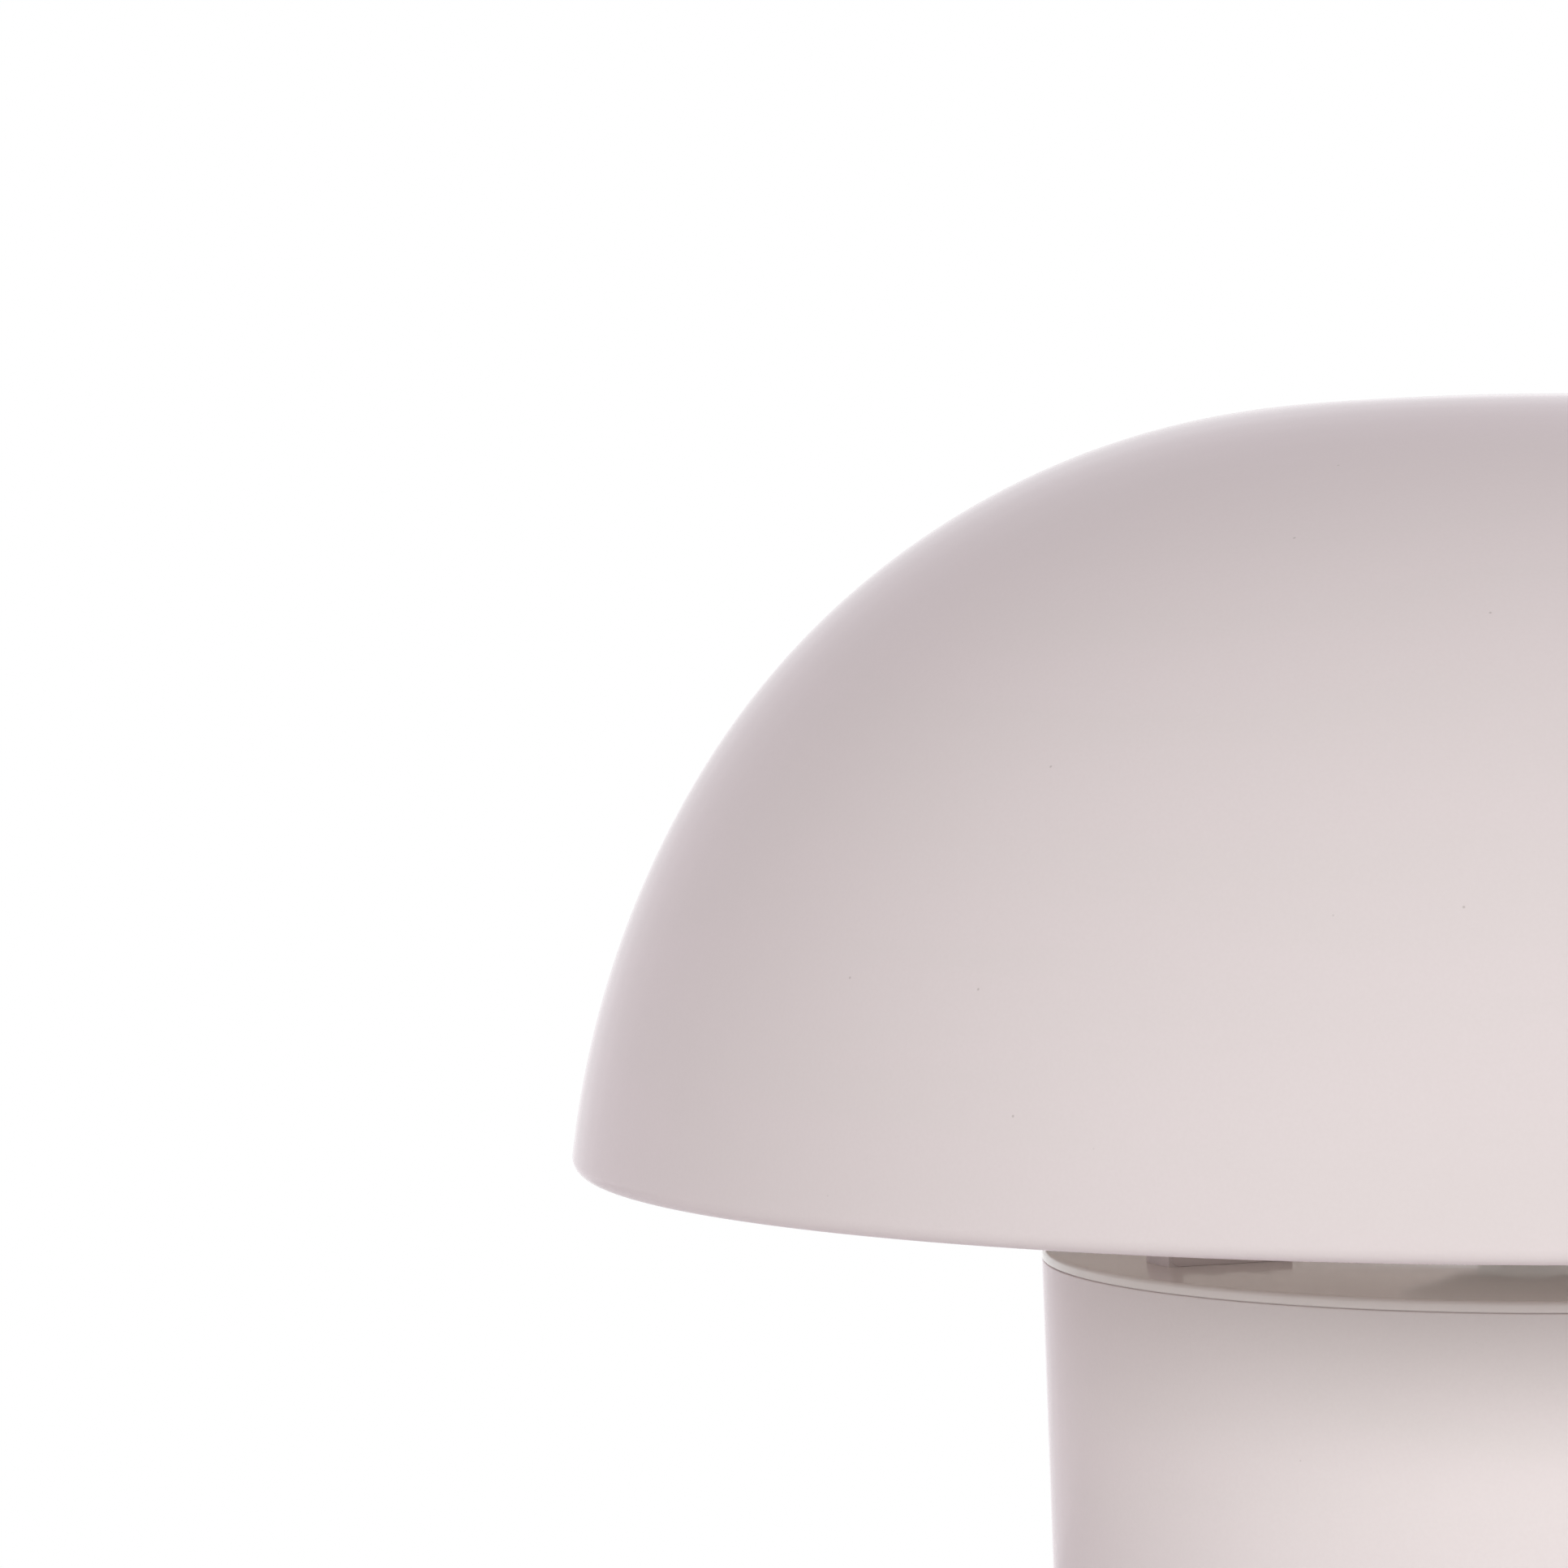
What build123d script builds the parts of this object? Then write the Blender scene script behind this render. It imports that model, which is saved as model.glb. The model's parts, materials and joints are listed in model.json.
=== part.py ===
"""Mushroom table lamp: a spun dome shade resting on a three-legged carrier above a drum-like stem.

Millimetres, +Z up, origin at the centre of the foot where the lamp stands, front towards -Y.
"""
from build123d import *
from math import atan2, cos, degrees, radians, sin, sqrt
import os

# ------------------------------------------------------------------ driving dimensions, mm and degrees
# Stem: one large tube that narrows a little towards the foot
stem_height = 211.9
stem_top_radius = 76.5
stem_foot_radius = 70.6
stem_wall = 1.5

# Lid: shallow pressed cap that closes the stem, with a fine shadow line under its edge
lid_plate = 1.5
lid_edge_round = 0.9
lid_shadow_gap = 0.3
lid_shadow_depth = 0.8
lid_skirt_depth = 9.0
lid_skirt_wall = 1.2

# Shade: dome of three tangent arcs (side, shoulder, crown) with a rolled lip
shade_radius = 150.0
shade_height = 119.5
shade_wall = 1.2
rim_above_lid = 13.3
lip_radius = 2.3
side_lean = 6.7
side_arc_radius = 145.0
side_arc_end = 31.6
crown_start = 86.0

# Carrier: three bent strap legs, a flat ring on top of them and rubber pads under the dome
leg_count = 3
first_leg_angle = -150.0
leg_from_lid_edge = 12.5
leg_strap_width = 8.0
leg_strap_thickness = 2.0
leg_foot_length = 20.0
leg_foot_bend = 4.0
leg_shoulder_bend = 14.0
leg_straight_height = 50.0
carrier_ring_radius = 98.0
carrier_ring_width = 12.0
carrier_ring_thickness = 2.0
pad_radius = 4.5
pad_rise = 3.0
pad_stem_radius = 2.0
pad_barb_rise = 0.9
rivet_radius = 1.5
rivet_head_radius = 2.8
rivet_head_height = 1.3
rivet_crown_radius = 1.8
foot_rivet_pitch = 8.0

# Tie rod: hollow threaded tube that clamps lid, stem and base plate together
rod_radius = 5.0
rod_bore_radius = 3.8
rod_end_chamfer = 0.5
rod_slot_width = 6.0
rod_slot_height = 15.0
rod_end_below_nut = 1.0
nut_flats = 14.0
nut_height = 5.0
washer_radius = 10.0
washer_thickness = 1.2

# Base: ring foot, pressed plate with a cup for the lower nut, iron ballast
foot_ring_height = 2.0
foot_ring_width = 13.0
foot_ring_inset = 2.8
foot_ring_chamfer = 0.4
base_plate_thickness = 1.5
base_plate_inset = 0.8
base_cup_radius = 21.5
base_cup_depth = 8.5
ballast_height = 16.0
ballast_chamfer = 1.0
ballast_screw_radius = 2.0
ballast_screw_circle = 42.0
ballast_screw_length = 12.0
ballast_screw_head_radius = 3.8
ballast_screw_head_height = 1.5
ballast_screw_head_round = 1.0

# Cord inlet: snap bush through the rear of the stem
inlet_height = 33.0
inlet_bore_radius = 3.1
bush_body_radius = 5.0
bush_flange_radius = 7.0
bush_flange_thickness = 1.8
bush_flange_bevel = 0.8
bush_tail_length = 5.0
bush_barb_rise = 0.6

# Mains terminals on top of the ballast
block_length = 34.0
block_depth = 16.0
block_height = 13.0
block_centre_y = 38.0
block_edge_round = 1.0
pole_pitch = 10.0
clamp_radius = 2.6
clamp_bore_radius = 1.2
clamp_height = 6.5
clamp_end_inset = 1.0
terminal_screw_radius = 1.3
terminal_screw_head_radius = 1.9
terminal_screw_head_height = 1.6
terminal_screw_slot_width = 0.6
terminal_screw_slot_depth = 0.6
block_screw_radius = 1.5
block_screw_length = 8.0
block_screw_head_radius = 2.25
block_screw_head_height = 1.5
lead_radius = 1.0
lead_spacing = 2.6
lead_straight = 6.0
lead_slot_run = 12.0
lead_rise_bend = 8.0
lead_end_bend = 6.0
lead_end_lift = 1.5
earth_lead_run = 5.0
earth_tag_x = 34.0
earth_tag_y = 16.0
earth_tag_radius = 4.5
earth_tag_thickness = 0.8
earth_crimp_radius = 1.6
earth_crimp_length = 6.0
earth_screw_radius = 2.0
earth_screw_head_radius = 3.6
earth_screw_head_height = 2.4
earth_screw_slot_width = 1.0
earth_screw_slot_depth = 1.2

# Lampholder above the lid
holder_radius = 20.5
holder_neck_radius = 12.0
holder_wall = 1.8
holder_floor = 3.0
holder_cap_height = 22.0
holder_cone_height = 8.8
holder_cone_floor_rise = 1.0
holder_ledge_width = 1.0
holder_body_height = 26.0
holder_mouth_radius = 15.4
holder_mouth_thickness = 2.0
holder_mouth_flare = 1.5
holder_rim_bevel_width = 1.6
holder_rim_bevel_height = 3.0
grip_ring_count = 4
grip_ring_pitch = 3.0
grip_ring_width = 0.8
grip_ring_depth = 0.5
grip_first_ring = 5.0
holder_thread_engagement = 5.0
insulator_height = 7.0
insulator_lap = 4.0
insulator_bevel = 2.0
socket_sleeve_height = 20.0
socket_sleeve_wall = 0.6
holder_terminal_x = 4.5
holder_terminal_size = 5.0
holder_terminal_height = 5.5
holder_screw_reach = 0.5
holder_screw_head_height = 1.5
contact_strip_width = 5.0
contact_strip_thickness = 0.5
contact_rise = 2.6
contact_foot_length = 4.5
contact_ramp_length = 3.5
contact_crest_length = 3.0
contact_bend = 1.5

# Bulb: small opal globe on a screw cap
bulb_cap_radius = 13.25
bulb_cap_height = 21.0
bulb_cap_foot_radius = 8.0
bulb_cap_cone_height = 2.5
bulb_insulator_height = 3.0
bulb_insulator_step = 1.0
bulb_tip_radius = 3.2
bulb_tip_height = 1.2
bulb_tip_round = 0.96
bulb_collar_height = 15.0
bulb_collar_flange = 0.5
bulb_collar_swell = 0.6
bulb_globe_radius = 22.5
bulb_globe_wall = 1.0
bulb_globe_seat_step = 3.0

# Clearances
fit_clearance = 0.3
hole_clearance = 0.05
running_clearance = 0.05
rest_gap = 0.3

# ------------------------------------------------------------------ heights that follow from the stack
base_plate_top = foot_ring_height + base_plate_thickness
stem_top = base_plate_top + stem_height
lid_top = stem_top + lid_shadow_gap + lid_plate
rim_plane = lid_top + rim_above_lid
cup_top = base_plate_top + base_cup_depth
cup_ceiling = cup_top - base_plate_thickness
base_nut_top = cup_ceiling - washer_thickness
rod_bottom = base_nut_top - nut_height - rod_end_below_nut
ballast_top = base_plate_top + ballast_height
holder_base = lid_top + washer_thickness + nut_height
rod_top = holder_base + holder_thread_engagement
insulator_bottom = holder_base + holder_cap_height - insulator_lap
insulator_top = insulator_bottom + insulator_height
bulb_tip_bottom = insulator_top + contact_rise + rest_gap
socket_radius = bulb_cap_radius + running_clearance
nut_corner_radius = nut_flats / sqrt(3)
leg_radius = stem_top_radius - leg_from_lid_edge


def stem_radius(height):
    """Outer radius of the tapered stem at a height above the floor."""
    share = (height - base_plate_top) / stem_height
    return stem_foot_radius + (stem_top_radius - stem_foot_radius) * share


# ------------------------------------------------------------------ shade geometry: tangent arcs
def polar(centre, radius, angle):
    """Point of the (radius, height) plane at an angle in degrees round a centre."""
    turn = radians(angle)
    return (centre[0] + radius * cos(turn), centre[1] + radius * sin(turn))


def direction_of(centre, point):
    """Angle in degrees at which a point is seen from a centre."""
    return degrees(atan2(point[1] - centre[1], point[0] - centre[0]))


lip_centre = (shade_radius - lip_radius, rim_plane + lip_radius)
side_start = polar(lip_centre, lip_radius, side_lean)
side_centre = polar(side_start, -side_arc_radius, side_lean)
side_end = polar(side_centre, side_arc_radius, side_arc_end)

# The shoulder's radius is the one that brings the crown to the shade's height on the axis
crown_fall = (1 - sin(radians(crown_start))) / cos(radians(crown_start))
shoulder_rise = sin(radians(crown_start)) - sin(radians(side_arc_end))
shoulder_run = cos(radians(crown_start)) - cos(radians(side_arc_end))
shade_top = rim_plane + shade_height
shoulder_radius = (shade_top - side_end[1] - side_end[0] * crown_fall) / (
    shoulder_rise + shoulder_run * crown_fall
)
shoulder_centre = polar(side_end, -shoulder_radius, side_arc_end)
shoulder_end = polar(shoulder_centre, shoulder_radius, crown_start)
crown_radius = shoulder_end[0] / cos(radians(crown_start))
crown_centre = (0.0, shade_top - crown_radius)

# Height of the carrier: each pad's round head touches the inside of the shoulder
pad_reach = shoulder_radius - shade_wall - rest_gap - pad_radius
pad_centre_height = shoulder_centre[1] + sqrt(
    pad_reach**2 - (carrier_ring_radius - shoulder_centre[0]) ** 2
)
ring_top = pad_centre_height - pad_rise
ring_bottom = ring_top - carrier_ring_thickness
leg_directions = [first_leg_angle + 360 / leg_count * leg for leg in range(leg_count)]
pad_directions = [direction + 180 / leg_count for direction in leg_directions]
foot_rivet_radii = [leg_radius - foot_rivet_pitch * (step + 1) for step in range(2)]


# ------------------------------------------------------------------ helpers
def arc(centre, radius, start, end):
    """Arc of the profile plane between two angles in degrees."""
    return CenterArc(centre, radius, start, end - start)


def turn(*edges):
    """Solid of revolution about Z of a closed profile drawn as (radius, height)."""
    return revolve(Plane.XZ * make_face([edge for part in edges for edge in part.edges()]), Axis.Z)


def turned(*corners):
    """Solid of revolution about Z from the corners of its (radius, height) outline."""
    return turn(Polyline(*corners, close=True))


def disc(radius, bottom, top, bore=0.0, x=0.0, y=0.0):
    """Upright disc or tube between two heights, with an optional bore."""
    blank = Cylinder(radius, top - bottom)
    if bore:
        blank -= Cylinder(bore, top - bottom)
    return Pos(x, y, (top + bottom) / 2) * blank


def around(shape, directions, radius):
    """Copies of an upright shape at a radius from the axis, in the given directions."""
    return [Rot(0, 0, direction) * Pos(radius, 0, 0) * shape for direction in directions]


def outer_edge(solid, height):
    """The widest circular edge of a turned solid at a height."""
    rings = [edge for edge in solid.edges().filter_by(GeomType.CIRCLE)
             if abs(edge.center().Z - height) < 0.001]
    return max(rings, key=lambda edge: edge.radius)


def tube_along(points, radii, radius):
    """Round lead along straight runs joined by tangent arcs."""
    path = FilletPolyline(*points, radius=radii)
    start = Plane(origin=path @ 0, z_dir=path % 0)
    return sweep(start * Circle(radius), path)


# ------------------------------------------------------------------ stem and lid
def stem_tube():
    tube = turned(
        (stem_foot_radius, base_plate_top),
        (stem_top_radius, stem_top),
        (stem_top_radius - stem_wall, stem_top),
        (stem_foot_radius - stem_wall, base_plate_top),
    )
    inlet = Pos(0, stem_foot_radius, inlet_height) * Rot(90, 0, 0) * Cylinder(
        bush_body_radius + hole_clearance, 8 * stem_wall
    )
    return tube - inlet


def stem_lid():
    edge_bottom = stem_top + lid_shadow_gap
    seat_radius = stem_top_radius - lid_shadow_depth
    skirt_bottom = stem_top - lid_skirt_depth
    skirt_radius = stem_radius(skirt_bottom) - stem_wall - fit_clearance
    lid = turned(
        (0, lid_top),
        (stem_top_radius, lid_top),
        (stem_top_radius, edge_bottom),
        (seat_radius, edge_bottom),
        (seat_radius, stem_top),
        (skirt_radius, stem_top),
        (skirt_radius, skirt_bottom),
        (skirt_radius - lid_skirt_wall, skirt_bottom),
        (skirt_radius - lid_skirt_wall, edge_bottom),
        (0, edge_bottom),
    )
    lid = fillet(outer_edge(lid, lid_top), lid_edge_round)
    lid -= disc(rod_radius + hole_clearance, edge_bottom, lid_top)
    for radius in foot_rivet_radii:
        lid -= around(disc(rivet_radius + hole_clearance, edge_bottom, lid_top), leg_directions, radius)
    return lid


# ------------------------------------------------------------------ shade
def shade_dome():
    """Dome wall and rolled lip as one profile: the lip's bead runs on into the wall's two faces."""
    centre_gap = side_arc_radius - lip_radius
    inner_radius = side_arc_radius - shade_wall
    along = (inner_radius**2 - lip_radius**2 + centre_gap**2) / (2 * centre_gap)
    across = sqrt(inner_radius**2 - along**2)
    meeting = polar(polar(side_centre, along, side_lean), across, side_lean + 90)
    lip_angle = direction_of(lip_centre, meeting)
    side_angle = direction_of(side_centre, meeting)
    return turn(
        arc(lip_centre, lip_radius, lip_angle - 360, side_lean),
        arc(side_centre, side_arc_radius, side_lean, side_arc_end),
        arc(shoulder_centre, shoulder_radius, side_arc_end, crown_start),
        arc(crown_centre, crown_radius, crown_start, 90),
        Line((0, shade_top), (0, shade_top - shade_wall)),
        arc(crown_centre, crown_radius - shade_wall, 90, crown_start),
        arc(shoulder_centre, shoulder_radius - shade_wall, crown_start, side_arc_end),
        arc(side_centre, side_arc_radius - shade_wall, side_arc_end, side_angle),
    )


# ------------------------------------------------------------------ carrier
def carrier_leg(direction):
    """Strap bent up from its riveted foot, then out to a flat end under the ring."""
    foot_line = lid_top + leg_strap_thickness / 2
    end_line = ring_bottom - leg_strap_thickness / 2
    path = FilletPolyline(
        (leg_radius - leg_foot_length, 0, foot_line),
        (leg_radius, 0, foot_line),
        (leg_radius, 0, foot_line + leg_straight_height),
        (carrier_ring_radius - carrier_ring_width / 2, 0, end_line),
        (carrier_ring_radius + carrier_ring_width / 2, 0, end_line),
        radius=[leg_foot_bend, leg_shoulder_bend, leg_foot_bend],
    )
    start = Plane(origin=path @ 0, x_dir=(0, 1, 0), z_dir=path % 0)
    leg = sweep(start * Rectangle(leg_strap_width, leg_strap_thickness), path)
    for radius in foot_rivet_radii:
        leg -= disc(rivet_radius + hole_clearance, lid_top, lid_top + leg_strap_thickness, x=radius)
    end_bottom = ring_bottom - leg_strap_thickness
    leg -= disc(rivet_radius + hole_clearance, end_bottom, ring_bottom, x=carrier_ring_radius)
    return Rot(0, 0, direction) * leg


def carrier_ring():
    half_width = carrier_ring_width / 2
    outer = carrier_ring_radius + half_width
    ring = disc(outer, ring_bottom, ring_top, bore=carrier_ring_radius - half_width)
    rivet_hole = disc(rivet_radius + hole_clearance, ring_bottom, ring_top)
    pad_hole = disc(pad_stem_radius + hole_clearance, ring_bottom, ring_top)
    ring -= around(rivet_hole, leg_directions, carrier_ring_radius)
    ring -= around(pad_hole, pad_directions, carrier_ring_radius)
    return ring


def rivet(bottom, top):
    """Shank between two faces with a low round head on each side."""
    return turned(
        (0, bottom - rivet_head_height),
        (rivet_crown_radius, bottom - rivet_head_height),
        (rivet_head_radius, bottom),
        (rivet_radius, bottom),
        (rivet_radius, top),
        (rivet_head_radius, top),
        (rivet_crown_radius, top + rivet_head_height),
        (0, top + rivet_head_height),
    )


def leg_rivets():
    foot_rivet = rivet(lid_top - lid_plate, lid_top + leg_strap_thickness)
    return [solid for radius in foot_rivet_radii for solid in around(foot_rivet, leg_directions, radius)]


def ring_rivets():
    return around(rivet(ring_bottom - leg_strap_thickness, ring_top), leg_directions, carrier_ring_radius)


def rest_pads():
    """Rubber buttons pushed through the ring, each with a round head and a barbed stem."""
    barb_radius = pad_stem_radius + pad_barb_rise
    barb_top = ring_bottom - hole_clearance
    pad = turn(
        Line((0, pad_centre_height + pad_radius), (0, barb_top - barb_radius)),
        Line((0, barb_top - barb_radius), (barb_radius, barb_top)),
        Line((barb_radius, barb_top), (pad_stem_radius, barb_top)),
        Line((pad_stem_radius, barb_top), (pad_stem_radius, ring_top)),
        Line((pad_stem_radius, ring_top), (pad_radius, ring_top)),
        Line((pad_radius, ring_top), (pad_radius, pad_centre_height)),
        arc((0, pad_centre_height), pad_radius, 0, 90),
    )
    return around(pad, pad_directions, carrier_ring_radius)


# ------------------------------------------------------------------ tie rod and its fixings
def tie_rod():
    rod = disc(rod_radius, rod_bottom, rod_top, bore=rod_bore_radius)
    rod = chamfer([outer_edge(rod, rod_bottom), outer_edge(rod, rod_top)], rod_end_chamfer)
    slot = Pos(0, rod_radius, inlet_height) * Box(rod_slot_width, 2 * rod_radius, rod_slot_height)
    return rod - slot


def hex_nut(bottom):
    """Hexagon nut with chamfered corners, above a given face."""
    blank = extrude(RegularPolygon(nut_flats / 2, 6, major_radius=False), nut_height)
    lead_in = nut_corner_radius - nut_flats / 2
    top = nut_height - lead_in / 2
    cone = turned((0, 0), (nut_flats / 2, 0), (nut_corner_radius, lead_in / 2), (nut_corner_radius, top),
                  (nut_flats / 2, nut_height), (0, nut_height))
    nut = (blank & cone) - disc(rod_radius + hole_clearance, 0, nut_height)
    return Pos(0, 0, bottom) * nut


def washer(bottom):
    return disc(washer_radius, bottom, bottom + washer_thickness, bore=rod_radius + hole_clearance)


# ------------------------------------------------------------------ base
def base_plate():
    plate_radius = stem_foot_radius - base_plate_inset
    cup_inside = base_cup_radius
    cup_outside = base_cup_radius + base_plate_thickness
    plate = turned(
        (rod_radius + hole_clearance, cup_top),
        (cup_outside, cup_top),
        (cup_outside, base_plate_top),
        (plate_radius, base_plate_top),
        (plate_radius, foot_ring_height),
        (cup_inside, foot_ring_height),
        (cup_inside, cup_ceiling),
        (rod_radius + hole_clearance, cup_ceiling),
    )
    plate = fillet(outer_edge(plate, cup_top), base_plate_thickness)
    hole = disc(ballast_screw_radius + hole_clearance, foot_ring_height, base_plate_top)
    return plate - around(hole, leg_directions, ballast_screw_circle)


def ballast():
    outer = stem_foot_radius - stem_wall - fit_clearance
    inner = base_cup_radius + base_plate_thickness + fit_clearance
    body = disc(outer, base_plate_top, ballast_top, bore=inner)
    body = chamfer([outer_edge(body, base_plate_top), outer_edge(body, ballast_top)], ballast_chamfer)
    screw_top = foot_ring_height + ballast_screw_length + hole_clearance
    hole = disc(ballast_screw_radius + hole_clearance, base_plate_top, screw_top)
    body -= around(hole, leg_directions, ballast_screw_circle)
    tag_hole_bottom = ballast_top - block_screw_length
    body -= disc(earth_screw_radius + hole_clearance, tag_hole_bottom, ballast_top,
                 x=earth_tag_x, y=earth_tag_y)
    body -= disc(block_screw_radius + hole_clearance, tag_hole_bottom, ballast_top,
                 x=pole_pitch / 2, y=block_centre_y)
    return body


def ballast_screws():
    head_bottom = foot_ring_height - ballast_screw_head_height
    screw = disc(ballast_screw_radius, foot_ring_height, foot_ring_height + ballast_screw_length)
    head = disc(ballast_screw_head_radius, head_bottom, foot_ring_height)
    head = fillet(outer_edge(head, head_bottom), ballast_screw_head_round)
    return around(screw + head, leg_directions, ballast_screw_circle)


def foot_ring():
    outer = stem_foot_radius - foot_ring_inset
    ring = disc(outer, 0, foot_ring_height, bore=outer - foot_ring_width)
    return chamfer(outer_edge(ring, 0), foot_ring_chamfer)


# ------------------------------------------------------------------ cord inlet
def cord_bush():
    """Bush with an outer flange, a body through the wall and a barb that snaps in behind it."""
    flange_face = stem_radius(inlet_height + bush_flange_radius)
    wall_inside = stem_radius(inlet_height) - stem_wall
    barb_front = stem_radius(inlet_height - bush_flange_radius) - stem_wall - bush_barb_rise
    bush = turned(
        (inlet_bore_radius, flange_face + bush_flange_thickness),
        (bush_flange_radius - bush_flange_bevel, flange_face + bush_flange_thickness),
        (bush_flange_radius, flange_face + bush_flange_thickness - bush_flange_bevel),
        (bush_flange_radius, flange_face),
        (bush_body_radius, flange_face),
        (bush_body_radius, barb_front),
        (bush_body_radius + bush_barb_rise, barb_front),
        (bush_body_radius, wall_inside - bush_tail_length),
        (inlet_bore_radius, wall_inside - bush_tail_length),
    )
    return Pos(0, 0, inlet_height) * Rot(-90, 0, 0) * bush


# ------------------------------------------------------------------ mains terminals
pole_places = [-pole_pitch, 0.0, pole_pitch]
clamp_line = ballast_top + clamp_height
block_front = block_centre_y - block_depth / 2
block_top = ballast_top + block_height


def along_y(radius, front, back, x, z):
    """Round bar along Y between two faces."""
    return Pos(x, (front + back) / 2, z) * Rot(90, 0, 0) * Cylinder(radius, back - front)


def terminal_block():
    block = Pos(0, block_centre_y, ballast_top + block_height / 2) * Box(
        block_length, block_depth, block_height
    )
    top_edges = block.faces().sort_by(Axis.Z)[-1].edges()
    block = fillet(top_edges, block_edge_round)
    back = block_centre_y + block_depth / 2
    for x in pole_places:
        block -= along_y(clamp_radius + hole_clearance, block_front, back, x, clamp_line)
        block -= disc(terminal_screw_head_radius + hole_clearance, clamp_line, block_top,
                      x=x, y=block_centre_y)
    block -= disc(block_screw_radius + hole_clearance, ballast_top, block_top,
                  x=pole_pitch / 2, y=block_centre_y)
    return block


def terminal_clamps():
    front = block_front + clamp_end_inset
    back = block_centre_y + block_depth / 2 - clamp_end_inset
    clamps = []
    for x in pole_places:
        clamp = along_y(clamp_radius, front, back, x, clamp_line)
        clamp -= along_y(clamp_bore_radius, block_centre_y, back, x, clamp_line)
        clamp -= disc(terminal_screw_radius + hole_clearance, clamp_line, clamp_line + clamp_radius,
                      x=x, y=block_centre_y)
        clamps.append(clamp)
    return clamps


def screw_slot(x, y, top, head_radius, width, depth):
    """Straight driver slot across a screw head, as the bar that is cut out of it."""
    return Pos(x, y, top) * Box(width, 3 * head_radius, 2 * depth)


def terminal_screws():
    head_bottom = clamp_line + clamp_radius + hole_clearance
    head_top = head_bottom + terminal_screw_head_height
    screws = []
    for x in pole_places:
        shank = disc(terminal_screw_radius, clamp_line + clamp_bore_radius, head_bottom,
                     x=x, y=block_centre_y)
        head = disc(terminal_screw_head_radius, head_bottom, head_top, x=x, y=block_centre_y)
        slot = screw_slot(x, block_centre_y, head_top, terminal_screw_head_radius,
                          terminal_screw_slot_width, terminal_screw_slot_depth)
        screws.append(shank + head - slot)
    return screws


def block_screw():
    shank_bottom = ballast_top - block_screw_length + hole_clearance
    shank = disc(block_screw_radius, shank_bottom, block_top, x=pole_pitch / 2, y=block_centre_y)
    head = disc(block_screw_head_radius, block_top, block_top + block_screw_head_height,
                x=pole_pitch / 2, y=block_centre_y)
    return shank + head


def supply_lead(pole_x, side):
    """Lead from its clamp across the ballast, in at the rod's slot, up the bore to the lampholder."""
    bore_x = side * lead_spacing / 2
    entry = inlet_height - lead_radius
    end_x = side * holder_terminal_x
    end = insulator_bottom - holder_terminal_height
    return tube_along(
        [
            (pole_x, block_front + clamp_end_inset, clamp_line),
            (pole_x, block_front - lead_straight, clamp_line),
            (bore_x, lead_slot_run, entry),
            (bore_x, 0, entry),
            (bore_x, 0, rod_top),
            (end_x, 0, (rod_top + end) / 2 + lead_end_lift),
            (end_x, 0, end),
        ],
        [lead_rise_bend] * 3 + [lead_end_bend] * 2,
        lead_radius,
    )


def lead_earth():
    crimp_line = ballast_top + earth_crimp_radius
    crimp_start = earth_tag_x - earth_tag_radius - earth_crimp_length
    return tube_along(
        [
            (pole_pitch, block_front + clamp_end_inset, clamp_line),
            (pole_pitch, block_front - lead_straight, clamp_line),
            (crimp_start - earth_lead_run, earth_tag_y, crimp_line),
            (crimp_start, earth_tag_y, crimp_line),
        ],
        lead_end_bend,
        lead_radius,
    )


def earth_tag():
    """Ring terminal: a flat eye under the screw and a crimped barrel round the lead's end."""
    eye = disc(earth_tag_radius, ballast_top, ballast_top + earth_tag_thickness,
               x=earth_tag_x, y=earth_tag_y)
    barrel_end = earth_tag_x - earth_tag_radius
    barrel = Pos(barrel_end - earth_crimp_length / 2, earth_tag_y, ballast_top + earth_crimp_radius)
    barrel *= Rot(0, 90, 0) * Cylinder(earth_crimp_radius, earth_crimp_length)
    tongue = Pos(barrel_end, earth_tag_y, ballast_top + earth_tag_thickness / 2) * Box(
        earth_tag_radius, 2 * earth_crimp_radius, earth_tag_thickness
    )
    hole = disc(earth_screw_radius + hole_clearance, ballast_top, ballast_top + earth_tag_thickness,
                x=earth_tag_x, y=earth_tag_y)
    return eye + tongue + barrel - hole


def earth_screw():
    seat = ballast_top + earth_tag_thickness
    shank_bottom = ballast_top - block_screw_length + hole_clearance
    shank = disc(earth_screw_radius, shank_bottom, seat, x=earth_tag_x, y=earth_tag_y)
    head_top = seat + earth_screw_head_height
    head = disc(earth_screw_head_radius, seat, head_top, x=earth_tag_x, y=earth_tag_y)
    slot = screw_slot(earth_tag_x, earth_tag_y, head_top, earth_screw_head_radius,
                      earth_screw_slot_width, earth_screw_slot_depth)
    return shank + head - slot


# ------------------------------------------------------------------ lampholder
def holder_cap():
    """Lower cup, threaded on the rod, with an inner ledge that carries the insulator."""
    top = holder_base + holder_cap_height
    floor = holder_base + holder_floor
    spigot_radius = holder_radius - holder_wall
    ledge_radius = spigot_radius - holder_wall - holder_ledge_width
    shoulder = holder_base + holder_cone_height
    return turned(
        (rod_radius + hole_clearance, holder_base),
        (holder_neck_radius, holder_base),
        (holder_radius, shoulder),
        (holder_radius, top),
        (spigot_radius, top),
        (spigot_radius, insulator_bottom),
        (ledge_radius, insulator_bottom),
        (ledge_radius, shoulder + holder_cone_floor_rise),
        (holder_neck_radius - holder_wall, floor),
        (rod_radius + hole_clearance, floor),
    )


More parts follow.
